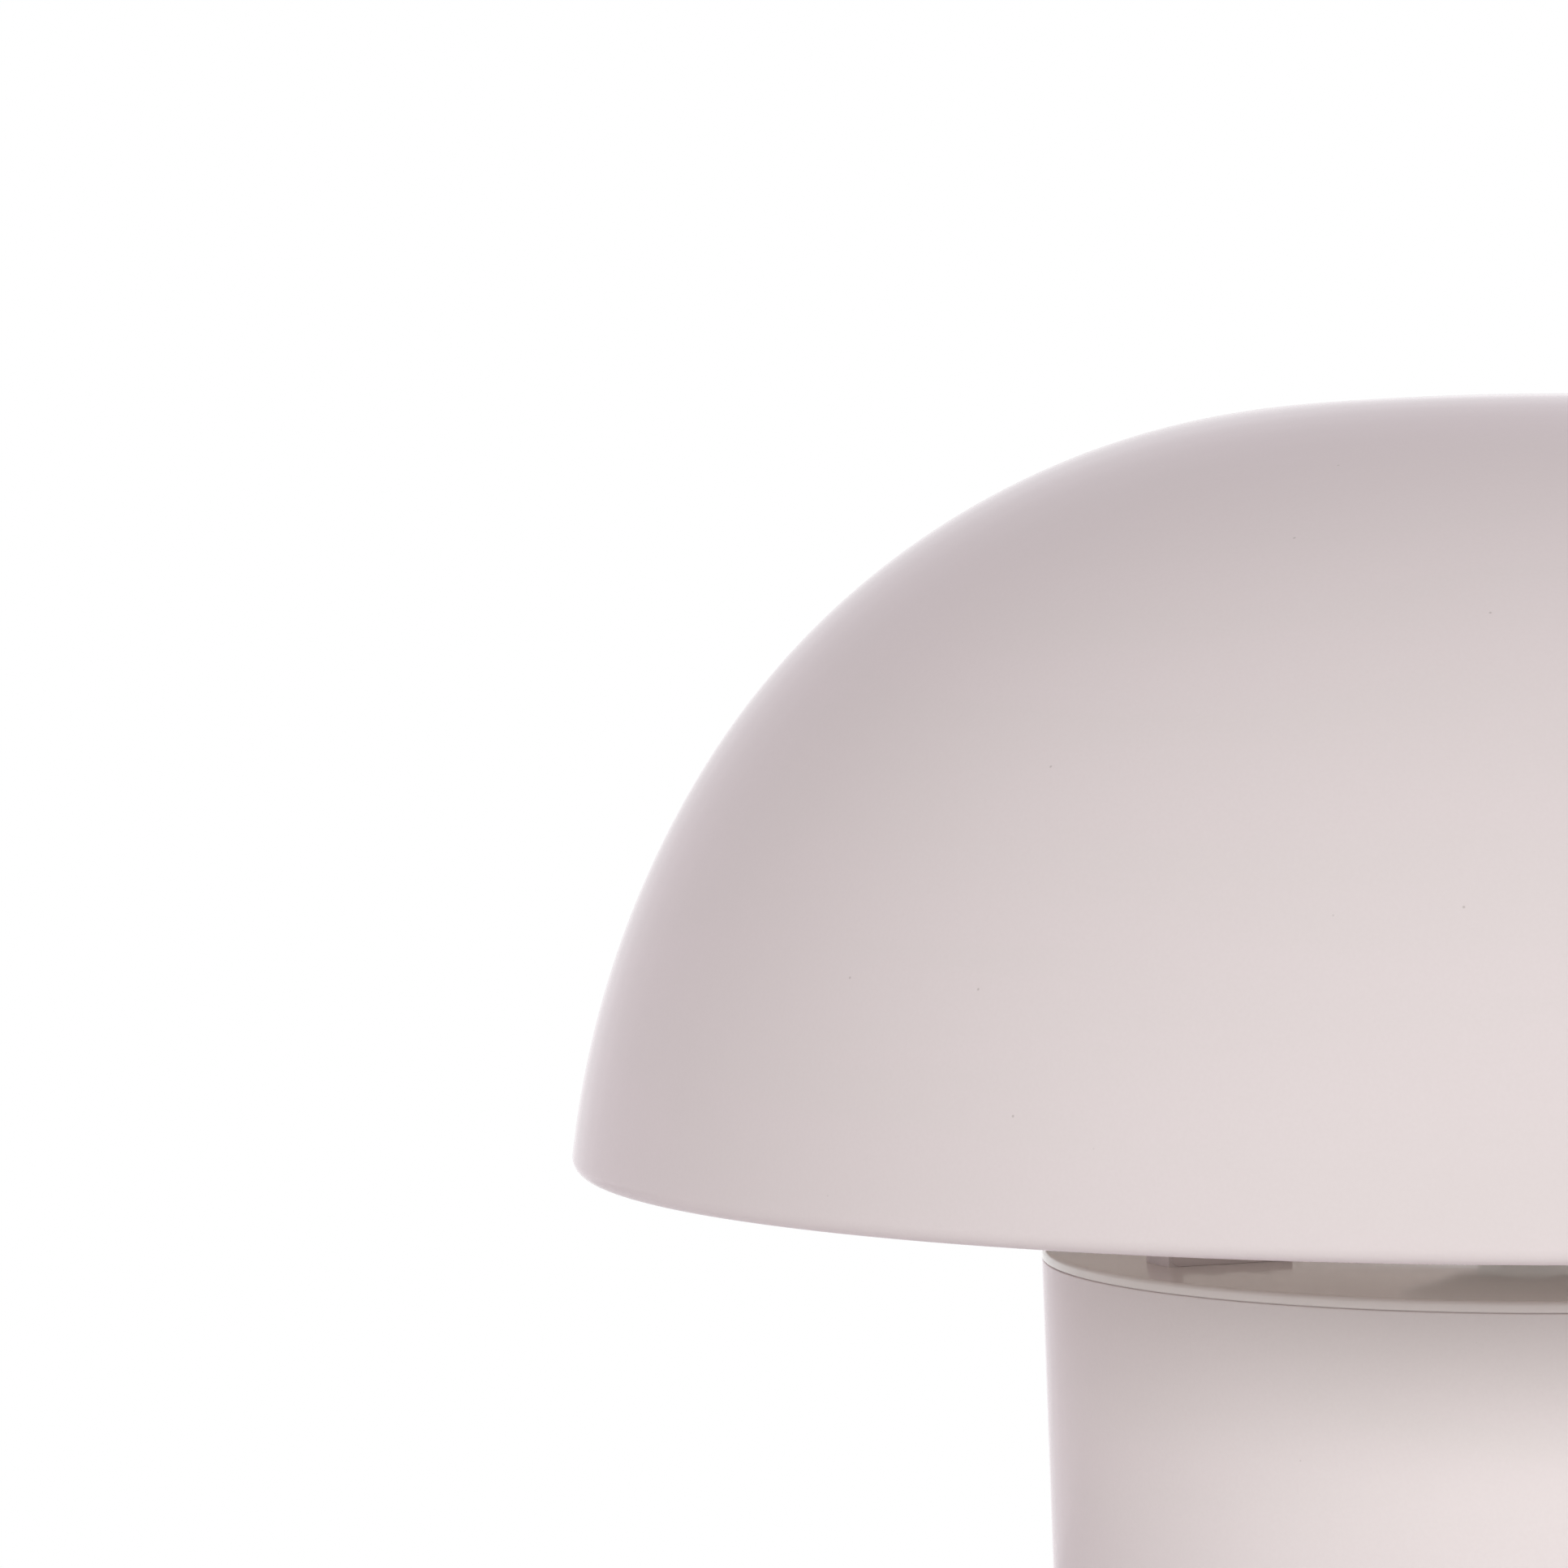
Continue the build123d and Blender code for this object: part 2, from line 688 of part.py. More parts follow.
def holder_body():
    """Upper sleeve: its spigot drops into the cup and its lip stands round the bulb's cap."""
    joint = holder_base + holder_cap_height
    top = joint + holder_body_height
    spigot_radius = holder_radius - holder_wall - hole_clearance
    inside_radius = spigot_radius - holder_wall
    body = turned(
        (holder_radius, joint),
        (holder_radius, top - holder_rim_bevel_height),
        (holder_radius - holder_rim_bevel_width, top),
        (holder_mouth_radius, top),
        (holder_mouth_radius, top - holder_mouth_thickness),
        (inside_radius, top - holder_mouth_thickness - holder_mouth_flare),
        (inside_radius, insulator_bottom),
        (spigot_radius, insulator_bottom),
        (spigot_radius, joint),
    )
    for step in range(grip_ring_count):
        height = joint + grip_first_ring + step * grip_ring_pitch
        body -= disc(holder_radius, height, height + grip_ring_width,
                     bore=holder_radius - grip_ring_depth)
    return body


def holder_insulator():
    radius = holder_radius - 2 * holder_wall - 2 * hole_clearance
    return turned(
        (0, insulator_bottom),
        (radius, insulator_bottom),
        (radius, insulator_top - insulator_bevel),
        (radius - insulator_bevel, insulator_top),
        (0, insulator_top),
    )


def holder_screw_shell():
    """Brass sleeve that takes the bulb's screw cap, with a floor riveted to the insulator."""
    outside = socket_radius + socket_sleeve_wall
    return turned(
        (bulb_cap_foot_radius, insulator_top),
        (outside, insulator_top),
        (outside, insulator_top + socket_sleeve_height),
        (socket_radius, insulator_top + socket_sleeve_height),
        (socket_radius, insulator_top + socket_sleeve_wall),
        (bulb_cap_foot_radius, insulator_top + socket_sleeve_wall),
    )


def holder_contact():
    """Springy centre tongue that rises to meet the bulb's tip."""
    line = insulator_top + contact_strip_thickness / 2
    crest = insulator_top + contact_rise - contact_strip_thickness / 2
    tip = (contact_crest_length + contact_strip_width) / 2
    ramp_top = tip - contact_crest_length
    ramp_foot = ramp_top - contact_ramp_length
    path = FilletPolyline(
        (ramp_foot - contact_foot_length, 0, line),
        (ramp_foot, 0, line),
        (ramp_top, 0, crest),
        (tip, 0, crest),
        radius=contact_bend,
    )
    start = Plane(origin=path @ 0, x_dir=(0, 1, 0), z_dir=path % 0)
    return sweep(start * Rectangle(contact_strip_width, contact_strip_thickness), path)


def holder_terminals():
    """Two clamp blocks under the insulator, where the leads end."""
    half = holder_terminal_height / 2
    terminals = []
    for side in (-1, 1):
        place = Pos(side * holder_terminal_x, 0, insulator_bottom - half)
        block = place * Box(holder_terminal_size, holder_terminal_size, holder_terminal_height)
        screw_way = Pos(side * holder_terminal_x, -holder_terminal_size / 2, insulator_bottom - half)
        block -= screw_way * Rot(90, 0, 0) * Cylinder(terminal_screw_radius + hole_clearance,
                                                      holder_terminal_size)
        terminals.append(block)
    return terminals


def holder_terminal_screws():
    middle = insulator_bottom - holder_terminal_height / 2
    face = -holder_terminal_size / 2
    screws = []
    for side in (-1, 1):
        x = side * holder_terminal_x
        shank = along_y(terminal_screw_radius, face - holder_screw_reach, face / 2 + hole_clearance,
                        x, middle)
        head = along_y(terminal_screw_head_radius, face - holder_screw_reach - holder_screw_head_height,
                       face - holder_screw_reach, x, middle)
        screws.append(shank + head)
    return screws


# ------------------------------------------------------------------ bulb
bulb_foot = bulb_tip_bottom + bulb_tip_height
bulb_cap_bottom = bulb_foot + bulb_insulator_height
bulb_cap_top = bulb_cap_bottom + bulb_cap_height
bulb_collar_top = bulb_cap_top + bulb_collar_height
globe_seat_radius = bulb_globe_radius - bulb_globe_seat_step
bulb_globe_height = bulb_collar_top + sqrt(bulb_globe_radius**2 - globe_seat_radius**2)


def bulb_contact():
    tip = disc(bulb_tip_radius, bulb_tip_bottom, bulb_foot)
    return fillet(outer_edge(tip, bulb_tip_bottom), bulb_tip_round)


def bulb_insulator():
    return turned((0, bulb_foot), (bulb_tip_radius + bulb_insulator_step, bulb_foot),
                  (bulb_cap_foot_radius, bulb_cap_bottom), (0, bulb_cap_bottom))


def bulb_cap():
    shoulder = bulb_cap_bottom + bulb_cap_cone_height
    return turned((0, bulb_cap_bottom), (bulb_cap_foot_radius, bulb_cap_bottom),
                  (bulb_cap_radius, shoulder), (bulb_cap_radius, bulb_cap_top), (0, bulb_cap_top))


def bulb_collar():
    """Flared housing between the screw cap and the globe."""
    middle = (bulb_cap_top + bulb_collar_top) / 2
    foot_radius = bulb_cap_radius + bulb_collar_flange
    swell_radius = (bulb_cap_radius + globe_seat_radius) / 2 + bulb_collar_swell
    flare = Spline((foot_radius, bulb_cap_top), (swell_radius, middle),
                   (globe_seat_radius, bulb_collar_top))
    return turn(flare, Line((globe_seat_radius, bulb_collar_top), (0, bulb_collar_top)),
                Line((0, bulb_collar_top), (0, bulb_cap_top)),
                Line((0, bulb_cap_top), (foot_radius, bulb_cap_top)))


def bulb_globe():
    """Opal bulb: a hollow ball cut flat where the collar holds it."""
    centre = Pos(0, 0, bulb_globe_height)
    ball = centre * (Sphere(bulb_globe_radius) - Sphere(bulb_globe_radius - bulb_globe_wall))
    below = disc(2 * bulb_globe_radius, bulb_collar_top - 2 * bulb_globe_radius, bulb_collar_top)
    return ball - below


# ------------------------------------------------------------------ parts list
def parts():
    made = {
        "stem_tube": stem_tube(),
        "stem_lid": stem_lid(),
        "shade_dome": shade_dome(),
        "carrier_ring": carrier_ring(),
        "leg_rivets": leg_rivets(),
        "ring_rivets": ring_rivets(),
        "rest_pads": rest_pads(),
        "tie_rod": tie_rod(),
        "lid_washer": washer(lid_top),
        "lid_nut": hex_nut(lid_top + washer_thickness),
        "base_washer": washer(base_nut_top),
        "base_nut": hex_nut(base_nut_top - nut_height),
        "base_plate": base_plate(),
        "ballast": ballast(),
        "ballast_screws": ballast_screws(),
        "foot_ring": foot_ring(),
        "cord_bush": cord_bush(),
        "terminal_block": terminal_block(),
        "terminal_clamps": terminal_clamps(),
        "terminal_screws": terminal_screws(),
        "block_screw": block_screw(),
        "lead_live": supply_lead(-pole_pitch, -1),
        "lead_neutral": supply_lead(0.0, 1),
        "lead_earth": lead_earth(),
        "earth_tag": earth_tag(),
        "earth_screw": earth_screw(),
        "holder_cap": holder_cap(),
        "holder_body": holder_body(),
        "holder_insulator": holder_insulator(),
        "holder_screw_shell": holder_screw_shell(),
        "holder_contact": holder_contact(),
        "holder_terminals": holder_terminals(),
        "holder_terminal_screws": holder_terminal_screws(),
        "bulb_contact": bulb_contact(),
        "bulb_insulator": bulb_insulator(),
        "bulb_cap": bulb_cap(),
        "bulb_collar": bulb_collar(),
        "bulb_globe": bulb_globe(),
    }
    for name, direction in zip(("left", "right", "rear"), leg_directions):
        made[f"carrier_leg_{name}"] = carrier_leg(direction)
    return made


os.makedirs("parts", exist_ok=True)
for node, shape in parts().items():
    solids = shape if isinstance(shape, list) else shape.solids()
    export_step(Compound(children=[solid for piece in solids for solid in piece.solids()]),
                f"parts/{node}.step")
print(f"height {shade_top:.1f}, shoulder radius {shoulder_radius:.1f}, crown radius {crown_radius:.1f}, "
      f"carrier ring top {ring_top:.1f}, bulb top {bulb_globe_height + bulb_globe_radius:.1f}")
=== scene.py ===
"""Looks of the mushroom table lamp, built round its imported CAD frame.

Metres, +Z up, front towards -Y. The camera stands where the photograph was taken from.
"""
import json
from math import atan2, cos, degrees, pi, radians, sin, sqrt

import bpy
from mathutils import Matrix, Vector


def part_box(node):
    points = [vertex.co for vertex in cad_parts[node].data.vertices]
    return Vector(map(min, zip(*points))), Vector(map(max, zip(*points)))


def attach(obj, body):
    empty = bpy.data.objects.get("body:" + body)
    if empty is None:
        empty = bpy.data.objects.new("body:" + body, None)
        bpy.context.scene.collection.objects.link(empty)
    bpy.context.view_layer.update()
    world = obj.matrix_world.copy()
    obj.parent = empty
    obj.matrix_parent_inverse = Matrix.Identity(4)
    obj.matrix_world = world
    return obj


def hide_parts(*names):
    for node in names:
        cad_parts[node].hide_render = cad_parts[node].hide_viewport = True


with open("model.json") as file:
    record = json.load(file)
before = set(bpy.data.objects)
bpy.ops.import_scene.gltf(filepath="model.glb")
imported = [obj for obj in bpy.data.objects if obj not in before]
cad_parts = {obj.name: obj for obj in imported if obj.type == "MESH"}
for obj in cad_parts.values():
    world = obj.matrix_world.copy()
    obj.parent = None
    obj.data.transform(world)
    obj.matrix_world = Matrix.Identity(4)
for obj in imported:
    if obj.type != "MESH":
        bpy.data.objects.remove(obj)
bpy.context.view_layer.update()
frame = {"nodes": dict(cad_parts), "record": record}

MM = 0.001

# ------------------------------------------------------------------ camera and light
CAMERA_PLACE = (0.0, -0.900, 0.3159)
CAMERA_YAW = radians(-7.426)
CAMERA_PITCH = radians(1.633)
CAMERA_ROLL = radians(-0.567)
CAMERA_LENS = 130.9
SENSOR_WIDTH = 36.0
CAMERA_NEAR = 0.05
CAMERA_FAR = 20.0

# Strength of the white surroundings as a light, where 1 is what the eye is shown
WORLD_LIGHT = 0.34
FLOOR_HALF_WIDTH = 1.3
FLOOR_FRONT = -0.62
FLOOR_BACK = 0.95
FLOOR_COLOUR = (0.92, 0.915, 0.91)
# Light that the floor itself gives to the eye
FLOOR_GLOW = 0.25

SOFTBOX_AIM = (0.0, 0.0, 0.25)
SOFTBOX_DISTANCE = 1.6
SOFTBOX_WIDTH = 1.3
# name, azimuth and elevation in degrees of the softbox's place seen from the object, height, power in watts
SOFTBOXES = [
    ("key_right", 27, 16, 0.45, 11.5),
    ("side_right", 90, 7, 0.55, 4.0),
    ("rear_right", 160, 8, 0.8, 12.5),
    ("front_left", -34, 17, 0.45, 4.4),
    ("low_left", -60, -8, 0.55, 4.0),
]


def camera_axes():
    """The camera's right, up and forward directions from its yaw, pitch and roll."""
    level = cos(CAMERA_PITCH)
    forward = Vector((sin(CAMERA_YAW) * level, cos(CAMERA_YAW) * level, -sin(CAMERA_PITCH)))
    right = Vector((cos(CAMERA_YAW), -sin(CAMERA_YAW), 0.0))
    up = right.cross(forward)
    rolled_right = right * cos(CAMERA_ROLL) + up * sin(CAMERA_ROLL)
    rolled_up = up * cos(CAMERA_ROLL) - right * sin(CAMERA_ROLL)
    return rolled_right, rolled_up, forward


def add_camera():
    data = bpy.data.cameras.new("camera")
    data.lens = CAMERA_LENS
    data.sensor_width = SENSOR_WIDTH
    data.clip_start = CAMERA_NEAR
    data.clip_end = CAMERA_FAR
    camera = bpy.data.objects.new("camera", data)
    right, up, forward = camera_axes()
    turn = Matrix((right, up, -forward)).transposed()
    camera.matrix_world = Matrix.Translation(CAMERA_PLACE) @ turn.to_4x4()
    bpy.context.scene.collection.objects.link(camera)
    bpy.context.scene.camera = camera


def seen_directly(tree):
    """1 for the rays that show the background itself: from the camera, off gloss and through glass."""
    path = tree.nodes.new("ShaderNodeLightPath")
    shown = path.outputs["Is Camera Ray"]
    for name in ("Is Glossy Ray", "Is Transmission Ray"):
        either = tree.nodes.new("ShaderNodeMath")
        either.operation = "MAXIMUM"
        tree.links.new(shown, either.inputs[0])
        tree.links.new(path.outputs[name], either.inputs[1])
        shown = either.outputs[0]
    return shown


def add_world():
    """White to the eye, softer as a light."""
    world = bpy.data.worlds.new("studio")
    world.use_nodes = True
    tree = world.node_tree
    tree.nodes.clear()
    lit = tree.nodes.new("ShaderNodeBackground")
    lit.inputs["Color"].default_value = (1, 1, 1, 1)
    lit.inputs["Strength"].default_value = WORLD_LIGHT
    shown = tree.nodes.new("ShaderNodeBackground")
    shown.inputs["Color"].default_value = (1, 1, 1, 1)
    pick = tree.nodes.new("ShaderNodeMixShader")
    output = tree.nodes.new("ShaderNodeOutputWorld")
    tree.links.new(seen_directly(tree), pick.inputs[0])
    tree.links.new(lit.outputs[0], pick.inputs[1])
    tree.links.new(shown.outputs[0], pick.inputs[2])
    tree.links.new(pick.outputs[0], output.inputs["Surface"])
    bpy.context.scene.world = world


def add_softbox(name, azimuth, elevation, height, power):
    """White rectangular light, unseen in gloss; azimuth 0 is in front, 90 on the right of the picture."""
    turn, lift = radians(azimuth), radians(elevation)
    away = Vector((sin(turn) * cos(lift), -cos(turn) * cos(lift), sin(lift)))
    data = bpy.data.lights.new(name, "AREA")
    data.shape = "RECTANGLE"
    data.size = SOFTBOX_WIDTH
    data.size_y = height
    data.energy = power
    lamp = bpy.data.objects.new(name, data)
    lamp.visible_glossy = False
    lamp.location = Vector(SOFTBOX_AIM) + away * SOFTBOX_DISTANCE
    lamp.rotation_euler = (-away).to_track_quat("-Z", "Y").to_euler()
    bpy.context.scene.collection.objects.link(lamp)


def add_floor():
    """Pale floor that glows a little to the eye, so that only the object's shadow shows on white."""
    mesh = bpy.data.meshes.new("floor")
    corners = [(-FLOOR_HALF_WIDTH, FLOOR_FRONT, 0), (FLOOR_HALF_WIDTH, FLOOR_FRONT, 0),
               (FLOOR_HALF_WIDTH, FLOOR_BACK, 0), (-FLOOR_HALF_WIDTH, FLOOR_BACK, 0)]
    mesh.from_pydata(corners, [], [(0, 1, 2, 3)])
    floor = bpy.data.objects.new("floor", mesh)
    bpy.context.scene.collection.objects.link(floor)
    material = bpy.data.materials.new("floor")
    material.use_nodes = True
    tree = material.node_tree
    tree.nodes.clear()
    paint = tree.nodes.new("ShaderNodeBsdfDiffuse")
    paint.inputs["Color"].default_value = (*FLOOR_COLOUR, 1)
    glow = tree.nodes.new("ShaderNodeEmission")
    strength = tree.nodes.new("ShaderNodeMath")
    strength.operation = "MULTIPLY"
    strength.inputs[1].default_value = FLOOR_GLOW
    total = tree.nodes.new("ShaderNodeAddShader")
    output = tree.nodes.new("ShaderNodeOutputMaterial")
    tree.links.new(seen_directly(tree), strength.inputs[0])
    tree.links.new(strength.outputs[0], glow.inputs["Strength"])
    tree.links.new(paint.outputs[0], total.inputs[0])
    tree.links.new(glow.outputs[0], total.inputs[1])
    tree.links.new(total.outputs[0], output.inputs["Surface"])
    mesh.materials.append(material)


# ------------------------------------------------------------------ materials
# Share of a speck's radius that has its full strength
SPECK_CORE = 0.4


class Finish:
    """A Principled material, with the procedural textures that its surface is made from."""

    def __init__(self, name, colour, roughness, metallic=0.0, **sockets):
        self.material = bpy.data.materials.new(name)
        self.material.use_nodes = True
        self.tree = self.material.node_tree
        self.shader = self.tree.nodes["Principled BSDF"]
        self.shader.inputs["Base Color"].default_value = (*colour, 1)
        self.shader.inputs["Roughness"].default_value = roughness
        self.shader.inputs["Metallic"].default_value = metallic
        for socket, value in sockets.items():
            self.shader.inputs[socket.replace("_", " ")].default_value = value
        self.place = self.tree.nodes.new("ShaderNodeTexCoord").outputs["Object"]
        self.shape = None

    def node(self, kind, **values):
        made = self.tree.nodes.new("ShaderNode" + kind)
        for key, value in values.items():
            setattr(made, key, value)
        return made

    def stretched(self, stretch):
        """Object coordinates in metres, scaled along each axis."""
        mapping = self.node("Mapping")
        mapping.inputs["Scale"].default_value = stretch
        self.tree.links.new(self.place, mapping.inputs["Vector"])
        return mapping.outputs["Vector"]

    def noise(self, scale, detail=2.0, stretch=(1, 1, 1), swirl=0.0):
        """Noise of so many waves per metre, from 0 to 1."""
        noise = self.node("TexNoise")
        noise.inputs["Scale"].default_value = scale
        noise.inputs["Detail"].default_value = detail
        noise.inputs["Distortion"].default_value = swirl
        self.tree.links.new(self.stretched(stretch), noise.inputs["Vector"])
        return noise.outputs["Fac"]

    def specks(self, per_metre, radius):
        """Sparse round specks of a radius in metres: 1 in their core, falling to 0 at their edge."""
        cells = self.node("TexVoronoi")
        cells.inputs["Scale"].default_value = per_metre
        self.tree.links.new(self.place, cells.inputs["Vector"])
        reach = radius * per_metre
        return self.span(cells.outputs["Distance"], reach, SPECK_CORE * reach)

    def span(self, value, low, high, bottom=0.0, top=1.0):
        """Value mapped from low..high to bottom..top and held there outside."""
        spread = self.node("MapRange")
        spread.inputs["From Min"].default_value = low
        spread.inputs["From Max"].default_value = high
        spread.inputs["To Min"].default_value = bottom
        spread.inputs["To Max"].default_value = top
        self.tree.links.new(value, spread.inputs["Value"])
        return spread.outputs["Result"]

    def tint(self, amount, colour):
        """Blends another colour over what the base colour is so far.

        The Mix node holds sockets of every kind: 0 is the amount, 6 and 7 are its two colours.
        """
        blend = self.node("Mix", data_type="RGBA")
        under = self.shader.inputs["Base Color"]
        if under.is_linked:
            self.tree.links.new(under.links[0].from_socket, blend.inputs[6])
        else:
            blend.inputs[6].default_value = under.default_value
        blend.inputs[7].default_value = (*colour, 1)
        self.tree.links.new(amount, blend.inputs[0])
        self.tree.links.new(blend.outputs[2], under)

    def veil(self, texture, low, high, strength, colour):
        """Blends a colour in where a texture rises from low to high, up to a strength of 0..1."""
        self.tint(self.span(texture, low, high, 0.0, strength), colour)

    def polish(self, value, low, high):
        """Roughness that follows the middle half of a 0..1 texture, from low to high."""
        self.tree.links.new(self.span(value, 0.25, 0.75, low, high), self.shader.inputs["Roughness"])

    def relief(self, height, depth):
        """Bump of a 0..1 texture, depth in metres, on top of any relief so far."""
        bump = self.node("Bump")
        bump.inputs["Strength"].default_value = 1.0
        bump.inputs["Distance"].default_value = depth
        self.tree.links.new(height, bump.inputs["Height"])
        if self.shape:
            self.tree.links.new(self.shape, bump.inputs["Normal"])
        self.shape = bump.outputs["Normal"]
        self.tree.links.new(self.shape, self.shader.inputs["Normal"])


# Paint of the shade and the carrier, which drifts to PAINT_SHADE
PAINT = (0.778, 0.722, 0.704)
PAINT_SHADE = (0.731, 0.668, 0.648)
# Paints of the stem and the lid, which drift to PAINT. The stem's is painted light: the shade's paint made
# lighter so that the stem comes out as bright as it looks.
LIGHTENED_STEM_PAINT = (0.834, 0.788, 0.767)
# The lid's is painted light as well: the same paint lightened so that its top, in the gap under the shade,
# comes out brighter.
LIGHTENED_LID_PAINT = (0.824, 0.748, 0.728)
# Share of each part of a paint's colour left in faint stretched streaks, a little darker and greener
STREAK_SHARE = (0.966, 0.985, 0.969)
DUST = (0.30, 0.25, 0.22)
# Tint of the thin coat over a paint, and a coat that has none
LACQUER = (0.99, 0.96, 0.98)
CLEAR = (1.0, 1.0, 1.0)
ENAMEL_IOR = 1.20
LID_IOR = 1.38
# Least and greatest roughness of the enamel, and of the enamel on the shade
POLISH = (0.11, 0.17)
SHADE_POLISH = (0.17, 0.24)
TURNING_DEPTH = 0.004 * MM
# Paint inside the shade and the one it drifts to
SATIN_PAINT = (0.92, 0.85, 0.80)
SATIN_SHADE = (0.87, 0.79, 0.73)


def enamel(name, colour=PAINT, shade=PAINT_SHADE, ior=ENAMEL_IOR, polish=POLISH, lines=0.0,
           lacquer=LACQUER):
    """Sprayed enamel: slow colour drift, faint streaks, fine mottle, dust nibs, orange peel and ripple.

    Turning lines are added where lines gives them a depth.
    """
    finish = Finish(name, colour, polish[0], IOR=ior, Coat_Weight=1.0, Coat_IOR=1.05,
                    Coat_Roughness=0.1, Coat_Tint=(*lacquer, 1))
    streaked = tuple(part * share for part, share in zip(colour, STREAK_SHARE))
    drift = finish.noise(scale=14, detail=3)
    finish.veil(drift, low=0.35, high=0.75, strength=0.12, colour=shade)
    # Faint stretched streaks, a little darker and greener than the paint
    streaks = finish.noise(scale=9, detail=3, stretch=(1, 1, 6), swirl=1.2)
    finish.veil(streaks, low=0.44, high=0.60, strength=0.30, colour=streaked)
    mottle = finish.noise(scale=1900)
    finish.veil(mottle, low=0.3, high=0.7, strength=0.22, colour=shade)
    nibs = finish.specks(per_metre=105, radius=0.26 * MM)
    finish.veil(nibs, low=0.0, high=1.0, strength=0.4, colour=DUST)
    finish.polish(finish.noise(scale=22, detail=4), *polish)
    orange_peel = finish.noise(scale=420)
    finish.relief(orange_peel, depth=0.004 * MM)
    ripple = finish.noise(scale=40, detail=1)
    finish.relief(ripple, depth=0.06 * MM)
    if lines:
        turning = finish.noise(scale=60, detail=3, stretch=(0.05, 0.05, 14))
        finish.relief(turning, depth=lines)
    return finish.material


def satin_enamel(name):
    """The duller paint inside the shade, with a slow drift and a fine grain."""
    finish = Finish(name, SATIN_PAINT, roughness=0.34)
    finish.veil(finish.noise(scale=18, detail=3), low=0.35, high=0.75, strength=0.15, colour=SATIN_SHADE)
    finish.polish(finish.noise(scale=40, detail=3), low=0.24, high=0.36)
    finish.relief(finish.noise(scale=380), depth=0.006 * MM)
    return finish.material


def plain(name, colour, roughness, grain, depth, drift, metallic):
    """Finish with a fine grain, a slow drift of its colour and uneven polish."""
    finish = Finish(name, colour, roughness, metallic)
    finish.veil(finish.noise(scale=grain / 12, detail=3), low=0.35, high=0.7, strength=0.5, colour=drift)
    finish.polish(finish.noise(scale=grain / 6, detail=4), low=0.75 * roughness, high=1.3 * roughness)
    finish.relief(finish.noise(scale=grain, detail=3), depth=depth * MM)
    return finish.material


# name, colour, roughness, grains per metre, depth of the grain in mm, colour it drifts to, metallic
PLAIN_FINISHES = [
    ("zinc_steel", (0.62, 0.62, 0.60), 0.32, 900, 0.01, (0.50, 0.50, 0.49), 1.0),
    ("black_steel", (0.012, 0.012, 0.013), 0.5, 1500, 0.03, (0.03, 0.03, 0.03), 0.0),
    ("cast_iron", (0.05, 0.048, 0.046), 0.7, 500, 0.2, (0.10, 0.07, 0.05), 0.6),
    ("rubber", (0.014, 0.014, 0.014), 0.65, 1200, 0.02, (0.03, 0.03, 0.03), 0.0),
    ("clear_rubber", (0.70, 0.70, 0.68), 0.35, 500, 0.01, (0.62, 0.62, 0.58), 0.0),
    ("white_plastic", (0.87, 0.86, 0.83), 0.38, 700, 0.01, (0.81, 0.79, 0.75), 0.0),
    ("ceramic", (0.80, 0.79, 0.76), 0.15, 300, 0.01, (0.74, 0.72, 0.68), 0.0),
    ("brass", (0.70, 0.48, 0.18), 0.28, 900, 0.01, (0.55, 0.36, 0.14), 1.0),
    ("nickel", (0.66, 0.64, 0.60), 0.18, 700, 0.005, (0.56, 0.54, 0.50), 1.0),
    ("opal_glass", (0.90, 0.89, 0.87), 0.30, 400, 0.003, (0.86, 0.84, 0.80), 0.0),
    ("black_glass", (0.010, 0.010, 0.011), 0.08, 300, 0.003, (0.02, 0.02, 0.02), 0.0),
    ("lead_brown", (0.075, 0.030, 0.014), 0.42, 800, 0.01, (0.10, 0.045, 0.02), 0.0),
    ("lead_blue", (0.020, 0.075, 0.34), 0.42, 800, 0.01, (0.03, 0.10, 0.40), 0.0),
    ("lead_earth", (0.13, 0.34, 0.03), 0.42, 800, 0.01, (0.45, 0.48, 0.03), 0.0),
]
MATERIALS = {
    "shade_enamel": enamel("shade_enamel", polish=SHADE_POLISH, lines=TURNING_DEPTH),
    "shade_inside": satin_enamel("shade_inside"),
    # The stem and the lid take lightened copies of the shade's paint, painted light.
    "stem_enamel": enamel("stem_enamel", LIGHTENED_STEM_PAINT, PAINT),
    "lid_enamel": enamel("lid_enamel", LIGHTENED_LID_PAINT, PAINT, LID_IOR, lacquer=CLEAR),
    "carrier_enamel": enamel("carrier_enamel"),
}
for finish_row in PLAIN_FINISHES:
    MATERIALS[finish_row[0]] = plain(*finish_row)


def dress_cad_nodes():
    """Each CAD node takes the material of its slot in the record."""
    for subpart in frame["record"]["subparts"]:
        node = frame["nodes"][subpart["node"]]
        slots = node.data.materials
        for index in range(len(slots)):
            slots[index] = MATERIALS[subpart["material_slot"]]


# ------------------------------------------------------------------ shapes
TURN_STEPS = 320
CORNER_STEPS = 5
# Share of a side that the arc at one of its ends may take
CORNER_ROOM = 0.45
TINY = 1e-7
SHARP_ANGLE = 35
TURNED_SHARP_ANGLE = 30


def arc(centre, radius, start, end, steps):
    """Points of an arc in the (radius, height) plane, from one angle in degrees to another."""
    angles = [radians(start + (end - start) * step / steps) for step in range(steps + 1)]
    return [(centre[0] + radius * cos(angle), centre[1] + radius * sin(angle)) for angle in angles]


def polar(centre, radius, angle):
    """The point at a distance and an angle in degrees from a centre."""
    return (centre[0] + radius * cos(radians(angle)), centre[1] + radius * sin(radians(angle)))


def direction_of(centre, point):
    """The angle in degrees of a point seen from a centre."""
    return degrees(atan2(point[1] - centre[1], point[0] - centre[0]))


def tangent_arc(corner, before, after, bend, steps):
    """Points of the arc that rounds a corner between two neighbours, tangent to both sides."""
    inward, onward = (before - corner).normalized(), (after - corner).normalized()
    half = inward.angle(onward) / 2
    centre = corner + (inward + onward).normalized() * (bend / sin(half))
    reach = bend * cos(half) / sin(half)
    start = (corner + inward * reach - centre).normalized()
    end = (corner + onward * reach - centre).normalized()
    return [centre + start.slerp(end, step / steps) * bend for step in range(steps + 1)]


